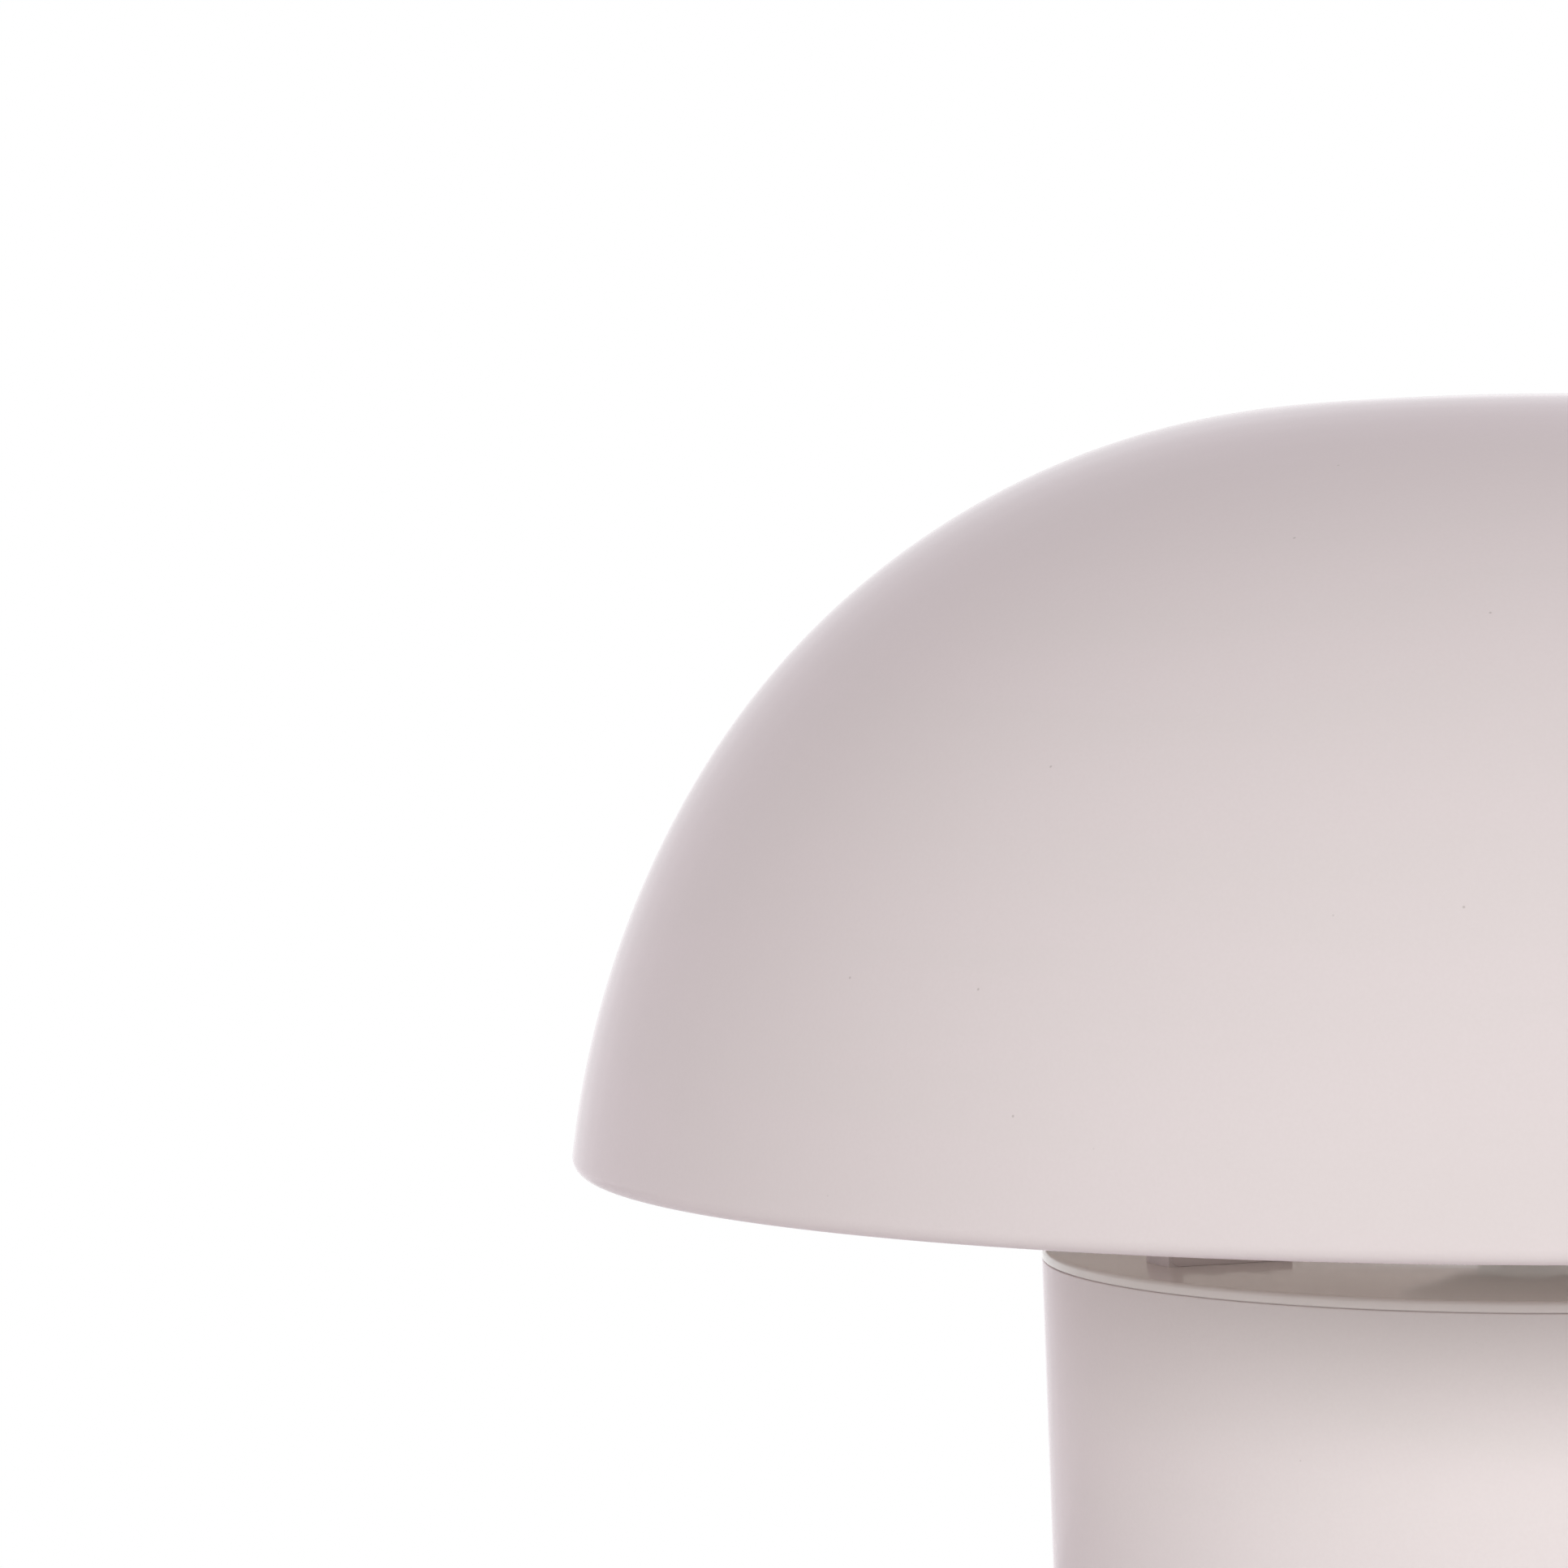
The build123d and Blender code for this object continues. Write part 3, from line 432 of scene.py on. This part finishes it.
def rounded(corners, radius, special=None):
    """Closed outline with its corners rounded as far as their sides have room.

    special gives single corners, by their index, a radius of their own.
    """
    special = special or {}
    outline = []
    for index, corner in enumerate(corners):
        here = Vector(corner)
        to_last = Vector(corners[index - 1]) - here
        to_next = Vector(corners[(index + 1) % len(corners)]) - here
        half = to_last.angle(to_next) / 2
        room = CORNER_ROOM * min(to_last.length, to_next.length)
        bend = min(special.get(index, radius), room * sin(half) / cos(half))
        if bend < TINY:
            outline.append(tuple(here))
        else:
            corner_arc = tangent_arc(here, here + to_last, here + to_next, bend, CORNER_STEPS)
            outline += [tuple(point) for point in corner_arc]
    return outline


def new_piece(name, vertices, faces, materials, sharp=SHARP_ANGLE):
    """Smooth-shaded object whose edges over an angle in degrees stay sharp."""
    mesh = bpy.data.meshes.new(name)
    mesh.from_pydata(vertices, [], faces)
    for material in materials:
        mesh.materials.append(material)
    mesh.polygons.foreach_set("use_smooth", [True] * len(mesh.polygons))
    mesh.update()
    mesh.set_sharp_from_angle(angle=radians(sharp))
    piece = bpy.data.objects.new(name, mesh)
    bpy.context.scene.collection.objects.link(piece)
    return piece


def new_block(name, low, high):
    """Straight-sided block between two corners, used as a cutter."""
    corners = [(x, y, z) for z in (low[2], high[2]) for y in (low[1], high[1]) for x in (low[0], high[0])]
    faces = [(0, 2, 3, 1), (4, 5, 7, 6), (0, 1, 5, 4), (2, 6, 7, 3), (0, 4, 6, 2), (1, 3, 7, 5)]
    return new_piece(name, corners, faces, [])


def cut(piece, cutter):
    """Takes the cutter's shape out of the piece and deletes the cutter."""
    modifier = piece.modifiers.new("cut", "BOOLEAN")
    modifier.operation = "DIFFERENCE"
    modifier.solver = "EXACT"
    modifier.object = cutter
    bpy.context.view_layer.update()
    result = bpy.data.meshes.new_from_object(piece.evaluated_get(bpy.context.evaluated_depsgraph_get()))
    piece.modifiers.clear()
    piece.data = result
    result.set_sharp_from_angle(angle=radians(SHARP_ANGLE))
    bpy.data.objects.remove(cutter)


def joined(name, pieces):
    """One object that holds several separate solids."""
    vertices, faces = [], []
    for piece in pieces:
        base = len(vertices)
        vertices += [tuple(piece.matrix_world @ vertex.co) for vertex in piece.data.vertices]
        faces += [tuple(base + corner for corner in polygon.vertices) for polygon in piece.data.polygons]
    whole = new_piece(name, vertices, faces, list(pieces[0].data.materials))
    for piece in pieces:
        bpy.data.objects.remove(piece)
    return whole


def settle(piece, body, slot, *nodes):
    """The piece rides on its body and stands for its CAD nodes, which it hides. The slot is not used."""
    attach(piece, body)
    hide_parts(*nodes)


def lathe(name, profile, closed=True, steps=TURN_STEPS, materials=(), pick=None, sharp=TURNED_SHARP_ANGLE):
    """Piece turned about Z from (radius, height) points; pick(index) gives a band's material."""
    vertices = []
    rings = []
    for radius, height in profile:
        if radius < TINY:
            rings.append([len(vertices)] * steps)
            vertices.append((0.0, 0.0, height))
            continue
        rings.append(range(len(vertices), len(vertices) + steps))
        for step in range(steps):
            turn = 2 * pi * step / steps
            vertices.append((radius * cos(turn), radius * sin(turn), height))
    faces = []
    bands = []
    last = len(profile) if closed else len(profile) - 1
    for index in range(last):
        lower, upper = rings[index], rings[(index + 1) % len(profile)]
        for step in range(steps):
            after = (step + 1) % steps
            corners = [lower[step], lower[after], upper[after], upper[step]]
            corners = list(dict.fromkeys(corners))
            if len(corners) > 2:
                faces.append(corners)
                bands.append(index)
    piece = new_piece(name, vertices, faces, materials, sharp)
    if pick:
        piece.data.polygons.foreach_set("material_index", [pick(band) for band in bands])
        piece.data.update()
    return piece


# ------------------------------------------------------------------ shade
# Angles are in degrees up from the horizontal, seen from the centre of each arc
SHADE_RADIUS = 150.0 * MM
SHADE_WALL = 1.2 * MM
RIM_PLANE = 230.5 * MM
SHADE_TOP = 350.0 * MM
LIP_RADIUS = 2.3 * MM
SIDE_LEAN = 6.7
SIDE_ARC_RADIUS = 145.0 * MM
SIDE_ARC_END = 31.6
CROWN_START = 86.0
OUTSIDE_STEPS = {"lip": 40, "side": 40, "shoulder": 70, "crown": 10}
INSIDE_STEPS = {"crown": 6, "shoulder": 40, "side": 24}


def shade_profile():
    """Closed outline of the spun shade, anticlockwise from the lip, and how many points face out."""
    lip = (SHADE_RADIUS - LIP_RADIUS, RIM_PLANE + LIP_RADIUS)
    side_start = polar(lip, LIP_RADIUS, SIDE_LEAN)
    side = polar(side_start, -SIDE_ARC_RADIUS, SIDE_LEAN)
    side_end = polar(side, SIDE_ARC_RADIUS, SIDE_ARC_END)
    crown_fall = (1 - sin(radians(CROWN_START))) / cos(radians(CROWN_START))
    rise = sin(radians(CROWN_START)) - sin(radians(SIDE_ARC_END))
    run = cos(radians(CROWN_START)) - cos(radians(SIDE_ARC_END))
    shoulder_radius = (SHADE_TOP - side_end[1] - side_end[0] * crown_fall) / (rise + run * crown_fall)
    shoulder = polar(side_end, -shoulder_radius, SIDE_ARC_END)
    shoulder_end = polar(shoulder, shoulder_radius, CROWN_START)
    crown_radius = shoulder_end[0] / cos(radians(CROWN_START))
    crown = (0.0, SHADE_TOP - crown_radius)
    inner = SIDE_ARC_RADIUS - SHADE_WALL
    gap = SIDE_ARC_RADIUS - LIP_RADIUS
    along = (inner**2 - LIP_RADIUS**2 + gap**2) / (2 * gap)
    across = sqrt(inner**2 - along**2)
    meeting = polar(polar(side, along, SIDE_LEAN), across, SIDE_LEAN + 90)
    lip_start = direction_of(lip, meeting) - 360
    outside = (
        arc(lip, LIP_RADIUS, lip_start, SIDE_LEAN, OUTSIDE_STEPS["lip"])[:-1]
        + arc(side, SIDE_ARC_RADIUS, SIDE_LEAN, SIDE_ARC_END, OUTSIDE_STEPS["side"])[:-1]
        + arc(shoulder, shoulder_radius, SIDE_ARC_END, CROWN_START, OUTSIDE_STEPS["shoulder"])[:-1]
        + arc(crown, crown_radius, CROWN_START, 90, OUTSIDE_STEPS["crown"])
    )
    inner_shoulder = shoulder_radius - SHADE_WALL
    side_start_angle = direction_of(side, meeting)
    inside = (
        arc(crown, crown_radius - SHADE_WALL, 90, CROWN_START, INSIDE_STEPS["crown"])[:-1]
        + arc(shoulder, inner_shoulder, CROWN_START, SIDE_ARC_END, INSIDE_STEPS["shoulder"])[:-1]
        + arc(side, inner, SIDE_ARC_END, side_start_angle, INSIDE_STEPS["side"])[:-1]
    )
    return outside + inside, len(outside)


def add_shade():
    """The spun dome, enamelled outside and satin inside."""
    profile, outside = shade_profile()
    shade = lathe(
        "spun_shade", profile,
        materials=[MATERIALS["shade_enamel"], MATERIALS["shade_inside"]],
        pick=lambda band: 0 if band < outside else 1,
    )
    settle(shade, "shade", "shade_enamel", "shade_dome")


# ------------------------------------------------------------------ stem and lid
STEM_FOOT = 3.5 * MM
STEM_TOP = 215.4 * MM
STEM_FOOT_RADIUS = 70.6 * MM
STEM_TOP_RADIUS = 76.5 * MM
STEM_WALL = 1.5 * MM
INLET_HEIGHT = 33.0 * MM
INLET_HOLE_RADIUS = 5.05 * MM
LID_TOP = 217.2 * MM
LID_EDGE_BOTTOM = 215.55 * MM
LID_EDGE_ROUND = 0.9 * MM
LID_SEAT_RADIUS = 76.2 * MM
SKIRT_BOTTOM = 206.4 * MM
SKIRT_RADIUS = 74.4 * MM
SKIRT_WALL = 1.2 * MM
ROD_HOLE_RADIUS = 5.05 * MM
BROKEN_EDGE = 0.2 * MM
HOLE_STEPS = 48


def add_stem():
    """The tapered tube, open at both ends, with the hole of the cord inlet at the rear."""
    outline = rounded(
        [(STEM_FOOT_RADIUS, STEM_FOOT), (STEM_TOP_RADIUS, STEM_TOP),
         (STEM_TOP_RADIUS - STEM_WALL, STEM_TOP), (STEM_FOOT_RADIUS - STEM_WALL, STEM_FOOT)],
        BROKEN_EDGE,
    )
    stem = lathe("stem_shell", outline, materials=[MATERIALS["stem_enamel"]])
    reach = 4 * STEM_WALL
    hole = lathe(
        "inlet_hole", [(0, -reach), (INLET_HOLE_RADIUS, -reach), (INLET_HOLE_RADIUS, reach), (0, reach)],
        closed=False, steps=HOLE_STEPS, materials=[MATERIALS["stem_enamel"]],
    )
    place = Matrix.Translation((0, STEM_FOOT_RADIUS, INLET_HEIGHT))
    hole.matrix_world = place @ Matrix.Rotation(radians(90), 4, "X")
    cut(stem, hole)
    settle(stem, "lamp", "stem_enamel", "stem_tube")


def add_lid():
    """Lid with a skirt inside the stem; it stands clear of the stem's outer edge, the dark seam."""
    skirt_inside = SKIRT_RADIUS - SKIRT_WALL
    corners = [
        (ROD_HOLE_RADIUS, LID_TOP), (ROD_HOLE_RADIUS, LID_EDGE_BOTTOM),
        (skirt_inside, LID_EDGE_BOTTOM), (skirt_inside, SKIRT_BOTTOM),
        (SKIRT_RADIUS, SKIRT_BOTTOM), (SKIRT_RADIUS, STEM_TOP), (LID_SEAT_RADIUS, STEM_TOP),
        (LID_SEAT_RADIUS, LID_EDGE_BOTTOM), (STEM_TOP_RADIUS, LID_EDGE_BOTTOM),
        (STEM_TOP_RADIUS, LID_TOP),
    ]
    top_edge = len(corners) - 1
    outline = rounded(corners, BROKEN_EDGE / 2, {top_edge: LID_EDGE_ROUND})
    lid = lathe("pressed_lid", outline, materials=[MATERIALS["lid_enamel"]])
    settle(lid, "lamp", "lid_enamel", "stem_lid")


# ------------------------------------------------------------------ carrier of the shade
# Degrees round the axis from +X
LEG_DIRECTIONS = {"left": -150, "right": -30, "rear": 90}
LEG_RADIUS = 64.0 * MM
LEG_WIDTH = 8.0 * MM
LEG_THICKNESS = 2.0 * MM
LEG_FOOT = 20.0 * MM
LEG_STRAIGHT = 50.0 * MM
LEG_FOOT_BEND = 1.1 * MM
LEG_END_BEND = 4.0 * MM
LEG_WIDE_BEND = 14.0 * MM
BEND_STEPS = 8
STRAP_EDGE = 0.12 * MM
RING_RADIUS = 98.0 * MM
RING_WIDTH = 12.0 * MM
RING_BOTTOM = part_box("carrier_ring")[0].z
RING_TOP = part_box("carrier_ring")[1].z
RIVET_PITCH = 8.0 * MM
RIVET_HEAD_RADIUS = 2.8 * MM
RIVET_HEAD_HEIGHT = 1.3 * MM
RIVET_RADIUS = 1.5 * MM
RIVET_STEPS = 32
LID_RIVET_DEPTH = 1.5 * MM
RING_SHARP_ANGLE = 50


def bent_path(corners, bends):
    """Points of a bent line in the (radius, height) plane: straight runs joined by tangent arcs."""
    path = [Vector(corners[0])]
    for index, bend in enumerate(bends, 1):
        before, corner, after = (Vector(corners[index + step]) for step in (-1, 0, 1))
        path += tangent_arc(corner, before, after, bend, BEND_STEPS)
    path.append(Vector(corners[-1]))
    return path


def leg_heel(name, foot_line):
    """Filler between the lid and the outside of a leg's lower bend, so that the two meet squarely."""
    centre = Vector((LEG_RADIUS - LEG_FOOT_BEND, foot_line + LEG_FOOT_BEND))
    outside = LEG_FOOT_BEND + LEG_THICKNESS / 2
    outline = [centre + Vector((outside, -outside))]
    for angle in range(-90, 1, 10):
        outline.append(centre + outside * Vector((cos(radians(angle)), sin(radians(angle)))))
    half = LEG_WIDTH / 2 - STRAP_EDGE
    vertices = [(point.x, across, point.y) for across in (-half, half) for point in outline]
    count = len(outline)
    faces = []
    for step in range(count):
        after = (step + 1) % count
        faces.append((step, after, count + after, count + step))
    for step in range(1, count - 1):
        faces += [(0, step + 1, step), (count, count + step, count + step + 1)]
    return new_piece(f"heel_{name}", vertices, faces, [MATERIALS["carrier_enamel"]])


def add_leg(name, direction):
    """Steel strap with rounded edges, bent up from the lid and out under the ring, and its heel."""
    foot_line = LID_TOP + LEG_THICKNESS / 2
    end_line = RING_BOTTOM - LEG_THICKNESS / 2
    path = bent_path(
        [(LEG_RADIUS - LEG_FOOT, foot_line), (LEG_RADIUS, foot_line),
         (LEG_RADIUS, foot_line + LEG_STRAIGHT),
         (RING_RADIUS - RING_WIDTH / 2, end_line), (RING_RADIUS + RING_WIDTH / 2, end_line)],
        [LEG_FOOT_BEND, LEG_WIDE_BEND, LEG_END_BEND],
    )
    section = rounded(
        [(-LEG_WIDTH / 2, -LEG_THICKNESS / 2), (LEG_WIDTH / 2, -LEG_THICKNESS / 2),
         (LEG_WIDTH / 2, LEG_THICKNESS / 2), (-LEG_WIDTH / 2, LEG_THICKNESS / 2)],
        STRAP_EDGE,
    )
    vertices = []
    for index, point in enumerate(path):
        ahead = path[min(index + 1, len(path) - 1)] - path[max(index - 1, 0)]
        side = Vector((-ahead.y, ahead.x)).normalized()
        for across, off in section:
            place = point + side * off
            vertices.append((place.x, across, place.y))
    count = len(section)
    faces = [
        (ring * count + step, ring * count + (step + 1) % count,
         (ring + 1) * count + (step + 1) % count, (ring + 1) * count + step)
        for ring in range(len(path) - 1) for step in range(count)
    ]
    faces.append(tuple(reversed(range(count))))
    faces.append(tuple(range((len(path) - 1) * count, len(path) * count)))
    strap = new_piece(f"strap_{name}", vertices, faces, [MATERIALS["carrier_enamel"]])
    leg = joined(f"strap_leg_{name}", [strap, leg_heel(name, foot_line)])
    leg.data.transform(Matrix.Rotation(radians(direction), 4, "Z"))
    settle(leg, "lamp", "carrier_enamel", f"carrier_leg_{name}")


def add_ring():
    """The flat ring that lies on the upper ends of the legs."""
    half = RING_WIDTH / 2
    outline = rounded(
        [(RING_RADIUS + half, RING_BOTTOM), (RING_RADIUS + half, RING_TOP),
         (RING_RADIUS - half, RING_TOP), (RING_RADIUS - half, RING_BOTTOM)],
        STRAP_EDGE,
    )
    ring = lathe("flat_ring", outline, materials=[MATERIALS["carrier_enamel"]], sharp=RING_SHARP_ANGLE)
    settle(ring, "lamp", "carrier_enamel", "carrier_ring")


def rivet_outline(bottom, top):
    """Shank with a low dome of a head at each end."""
    dome = [(RIVET_HEAD_RADIUS * cos(radians(angle)), RIVET_HEAD_HEIGHT * sin(radians(angle)))
            for angle in range(0, 91, 10)]
    upper = [(radius, top + rise) for radius, rise in dome]
    lower = [(radius, bottom - rise) for radius, rise in reversed(dome)]
    return lower + [(RIVET_RADIUS, bottom), (RIVET_RADIUS, top)] + upper


def turned_out(radius, direction):
    """Matrix that takes a piece from the axis out to a radius, in a direction in degrees."""
    return Matrix.Rotation(radians(direction), 4, "Z") @ Matrix.Translation((radius, 0, 0))


def add_rivets(name, outline, places, node):
    """One piece of equal rivets at (radius, direction) places, for a CAD node."""
    rivets = []
    for index, place in enumerate(places):
        rivet = lathe(f"{name}_{index}", outline, closed=False, steps=RIVET_STEPS,
                      materials=[MATERIALS["zinc_steel"]])
        rivet.data.transform(turned_out(*place))
        rivets.append(rivet)
    settle(joined(name, rivets), "lamp", "zinc_steel", node)


def add_carrier():
    """Three legs riveted to the lid and to the ring that they carry."""
    for name, direction in LEG_DIRECTIONS.items():
        add_leg(name, direction)
    add_ring()
    foot_places = [(LEG_RADIUS - RIVET_PITCH * step, direction)
                   for step in (1, 2) for direction in LEG_DIRECTIONS.values()]
    foot_outline = rivet_outline(LID_TOP - LID_RIVET_DEPTH, LID_TOP + LEG_THICKNESS)
    add_rivets("foot_rivets", foot_outline, foot_places, "leg_rivets")
    ring_places = [(RING_RADIUS, direction) for direction in LEG_DIRECTIONS.values()]
    top_outline = rivet_outline(RING_BOTTOM - LEG_THICKNESS, RING_TOP)
    add_rivets("top_rivets", top_outline, ring_places, "ring_rivets")


# ------------------------------------------------------------------ threads
ROD_RADIUS = 5.0 * MM
ROD_BORE = 3.8 * MM
ROD_PITCH = 1.0 * MM
ROD_THREAD_DEPTH = 0.5 * MM
ROD_THREAD_LENGTH = 16.0 * MM
ROD_ROWS_PER_PITCH = 8
ROD_STEPS = 64
ROD_SLOT_HALF_LENGTH = 7.5 * MM
ROD_SLOT_HALF_WIDTH = 3.0 * MM
CAP_RADIUS = 13.25 * MM
CAP_ROOT_RADIUS = 12.4 * MM
CAP_PITCH = 3.62 * MM
CAP_FOOT_RADIUS = 8.0 * MM
CAP_CONE = 2.5 * MM
CAP_BAND = 2.5 * MM
CAP_BAND_STEP = 0.4 * MM
CAP_CORE_RADIUS = 1.0 * MM
CAP_ROWS_PER_PITCH = 12
CAP_STEPS = 96


def threaded(name, heights, outer, inner, material, steps):
    """Upright tube or plug whose outer radius is outer(height, turn), turn being a share of a circle."""
    vertices = []
    for height in heights:
        for step in range(steps):
            turn = 2 * pi * step / steps
            radius = outer(height, step / steps)
            vertices.append((radius * cos(turn), radius * sin(turn), height))
    rows = len(heights)
    rings = [range(row * steps, (row + 1) * steps) for row in range(rows)]
    for height in (heights[-1], heights[0]):
        rings.append(range(len(vertices), len(vertices) + steps))
        for step in range(steps):
            turn = 2 * pi * step / steps
            vertices.append((inner * cos(turn), inner * sin(turn), height))
    faces = []
    for row in range(len(rings)):
        lower, upper = rings[row], rings[(row + 1) % len(rings)]
        for step in range(steps):
            after = (step + 1) % steps
            faces.append((lower[step], lower[after], upper[after], upper[step]))
    return new_piece(name, vertices, faces, [material])


def add_tie_rod():
    """Hollow rod with a fine thread at both ends and the leads' slot at the rear."""
    low, high = (corner.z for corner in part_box("tie_rod"))
    fine = ROD_PITCH / ROD_ROWS_PER_PITCH
    count = round(ROD_THREAD_LENGTH / fine)
    heights = [low + fine * step for step in range(count)]
    heights += [low + ROD_THREAD_LENGTH, high - ROD_THREAD_LENGTH]
    heights += [high - fine * step for step in reversed(range(count))]

    def outer(height, turn):
        end = min(height - low, high - height)
        if end >= ROD_THREAD_LENGTH - fine / 2:
            return ROD_RADIUS
        wave = abs(2 * ((height / ROD_PITCH - turn) % 1) - 1)
        return ROD_RADIUS - ROD_THREAD_DEPTH * wave * min(1, (ROD_THREAD_LENGTH - end) / ROD_PITCH)

    rod = threaded("threaded_rod", heights, outer, ROD_BORE, MATERIALS["zinc_steel"], ROD_STEPS)
    slot = new_block("rod_slot", (-ROD_SLOT_HALF_WIDTH, 0, INLET_HEIGHT - ROD_SLOT_HALF_LENGTH),
                     (ROD_SLOT_HALF_WIDTH, 2 * ROD_RADIUS, INLET_HEIGHT + ROD_SLOT_HALF_LENGTH))
    cut(rod, slot)
    settle(rod, "lamp", "zinc_steel", "tie_rod")


def add_bulb_cap():
    """Rolled screw cap: rounded thread between a cone at the foot and a plain band at the top."""
    low, high = (corner.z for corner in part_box("bulb_cap"))
    thread_low, thread_high = low + CAP_CONE, high - CAP_BAND
    thread = thread_high - thread_low
    count = round(thread / (CAP_PITCH / CAP_ROWS_PER_PITCH))
    heights = [low] + [thread_low + thread * step / count for step in range(count + 1)]
    heights += [thread_high + CAP_BAND_STEP, high]

    def outer(height, turn):
        if height < thread_low:
            return CAP_FOOT_RADIUS
        if height > thread_high:
            return CAP_RADIUS
        wave = 0.5 + 0.5 * cos(2 * pi * (height / CAP_PITCH - turn))
        ends = min(1, (height - thread_low) / CAP_PITCH, (thread_high - height) / CAP_PITCH)
        return CAP_RADIUS - (CAP_RADIUS - CAP_ROOT_RADIUS) * (1 - wave) * ends

    cap = threaded("screw_cap", heights, outer, CAP_CORE_RADIUS, MATERIALS["nickel"], CAP_STEPS)
    settle(cap, "bulb", "nickel", "bulb_cap")


# ------------------------------------------------------------------ screws and foot ring
BALLAST_SCREW_CIRCLE = 42.0 * MM
SCREW_HEAD_RADIUS = 3.8 * MM
SCREW_RADIUS = 2.0 * MM
SCREW_LENGTH = 12.0 * MM
SCREW_HEAD_ROUND = 1.2 * MM
# Corners of a screw's outline: the two on its axis, which stay sharp, and the outer one of its head
AXIS_LOW, HEAD_CORNER, AXIS_HIGH = 0, 1, 5
SCREW_STEPS = 48
RECESS_TURNS = (35, 125)
RECESS_HALF_LENGTH = 1.9 * MM
RECESS_HALF_WIDTH = 0.42 * MM
RECESS_DEPTH = 0.9 * MM


def add_ballast_screws():
    """Pan heads with a cross recess, seen from below inside the foot ring."""
    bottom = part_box("ballast_screws")[0].z
    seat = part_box("base_plate")[0].z
    outline = rounded(
        [(0, bottom), (SCREW_HEAD_RADIUS, bottom), (SCREW_HEAD_RADIUS, seat), (SCREW_RADIUS, seat),
         (SCREW_RADIUS, seat + SCREW_LENGTH), (0, seat + SCREW_LENGTH)],
        BROKEN_EDGE, {AXIS_LOW: 0, HEAD_CORNER: SCREW_HEAD_ROUND, AXIS_HIGH: 0},
    )
    recess_low = (-RECESS_HALF_LENGTH, -RECESS_HALF_WIDTH, bottom - MM)
    recess_high = (RECESS_HALF_LENGTH, RECESS_HALF_WIDTH, bottom + RECESS_DEPTH)
    screws = []
    for direction in LEG_DIRECTIONS.values():
        screw = lathe("ballast_screw", outline, closed=False, steps=SCREW_STEPS,
                      materials=[MATERIALS["zinc_steel"]])
        for turn in RECESS_TURNS:
            bar = new_block("recess", recess_low, recess_high)
            bar.data.transform(Matrix.Rotation(radians(turn), 4, "Z"))
            cut(screw, bar)
        screw.data.transform(turned_out(BALLAST_SCREW_CIRCLE, direction))
        screws.append(screw)
    settle(joined("cross_screws", screws), "lamp", "zinc_steel", "ballast_screws")


FOOT_RING_WIDTH = 13.0 * MM
GROOVE_PLACES = (3.25 * MM, 6.5 * MM, 9.75 * MM)
GROOVE_HALF_WIDTH = 0.4 * MM
GROOVE_DEPTH = 0.5 * MM
GROOVE_EDGE = 0.12 * MM
FOOT_RING_EDGE = 0.4 * MM


def add_foot_ring():
    """Rubber ring with three fine grooves in the face that stands on the table."""
    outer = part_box("foot_ring")[1].x
    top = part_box("foot_ring")[1].z
    inner = outer - FOOT_RING_WIDTH
    face = []
    for place in GROOVE_PLACES:
        near, far = outer - place + GROOVE_HALF_WIDTH, outer - place - GROOVE_HALF_WIDTH
        face += [(near, 0), (near, GROOVE_DEPTH), (far, GROOVE_DEPTH), (far, 0)]
    corners = [(outer, 0)] + face + [(inner, 0), (inner, top), (outer, top)]
    lower_inner = len(face) + 1
    outline = rounded(corners, GROOVE_EDGE, {0: FOOT_RING_EDGE, lower_inner: FOOT_RING_EDGE})
    ring = lathe("ribbed_foot", outline[::-1], materials=[MATERIALS["rubber"]])
    settle(ring, "lamp", "rubber", "foot_ring")


# ------------------------------------------------------------------ the scene
bpy.context.scene.view_settings.view_transform = "Standard"
add_camera()
add_world()
for softbox in SOFTBOXES:
    add_softbox(*softbox)
add_floor()
dress_cad_nodes()
add_shade()
add_stem()
add_lid()
add_carrier()
add_tie_rod()
add_bulb_cap()
add_ballast_screws()
add_foot_ring()
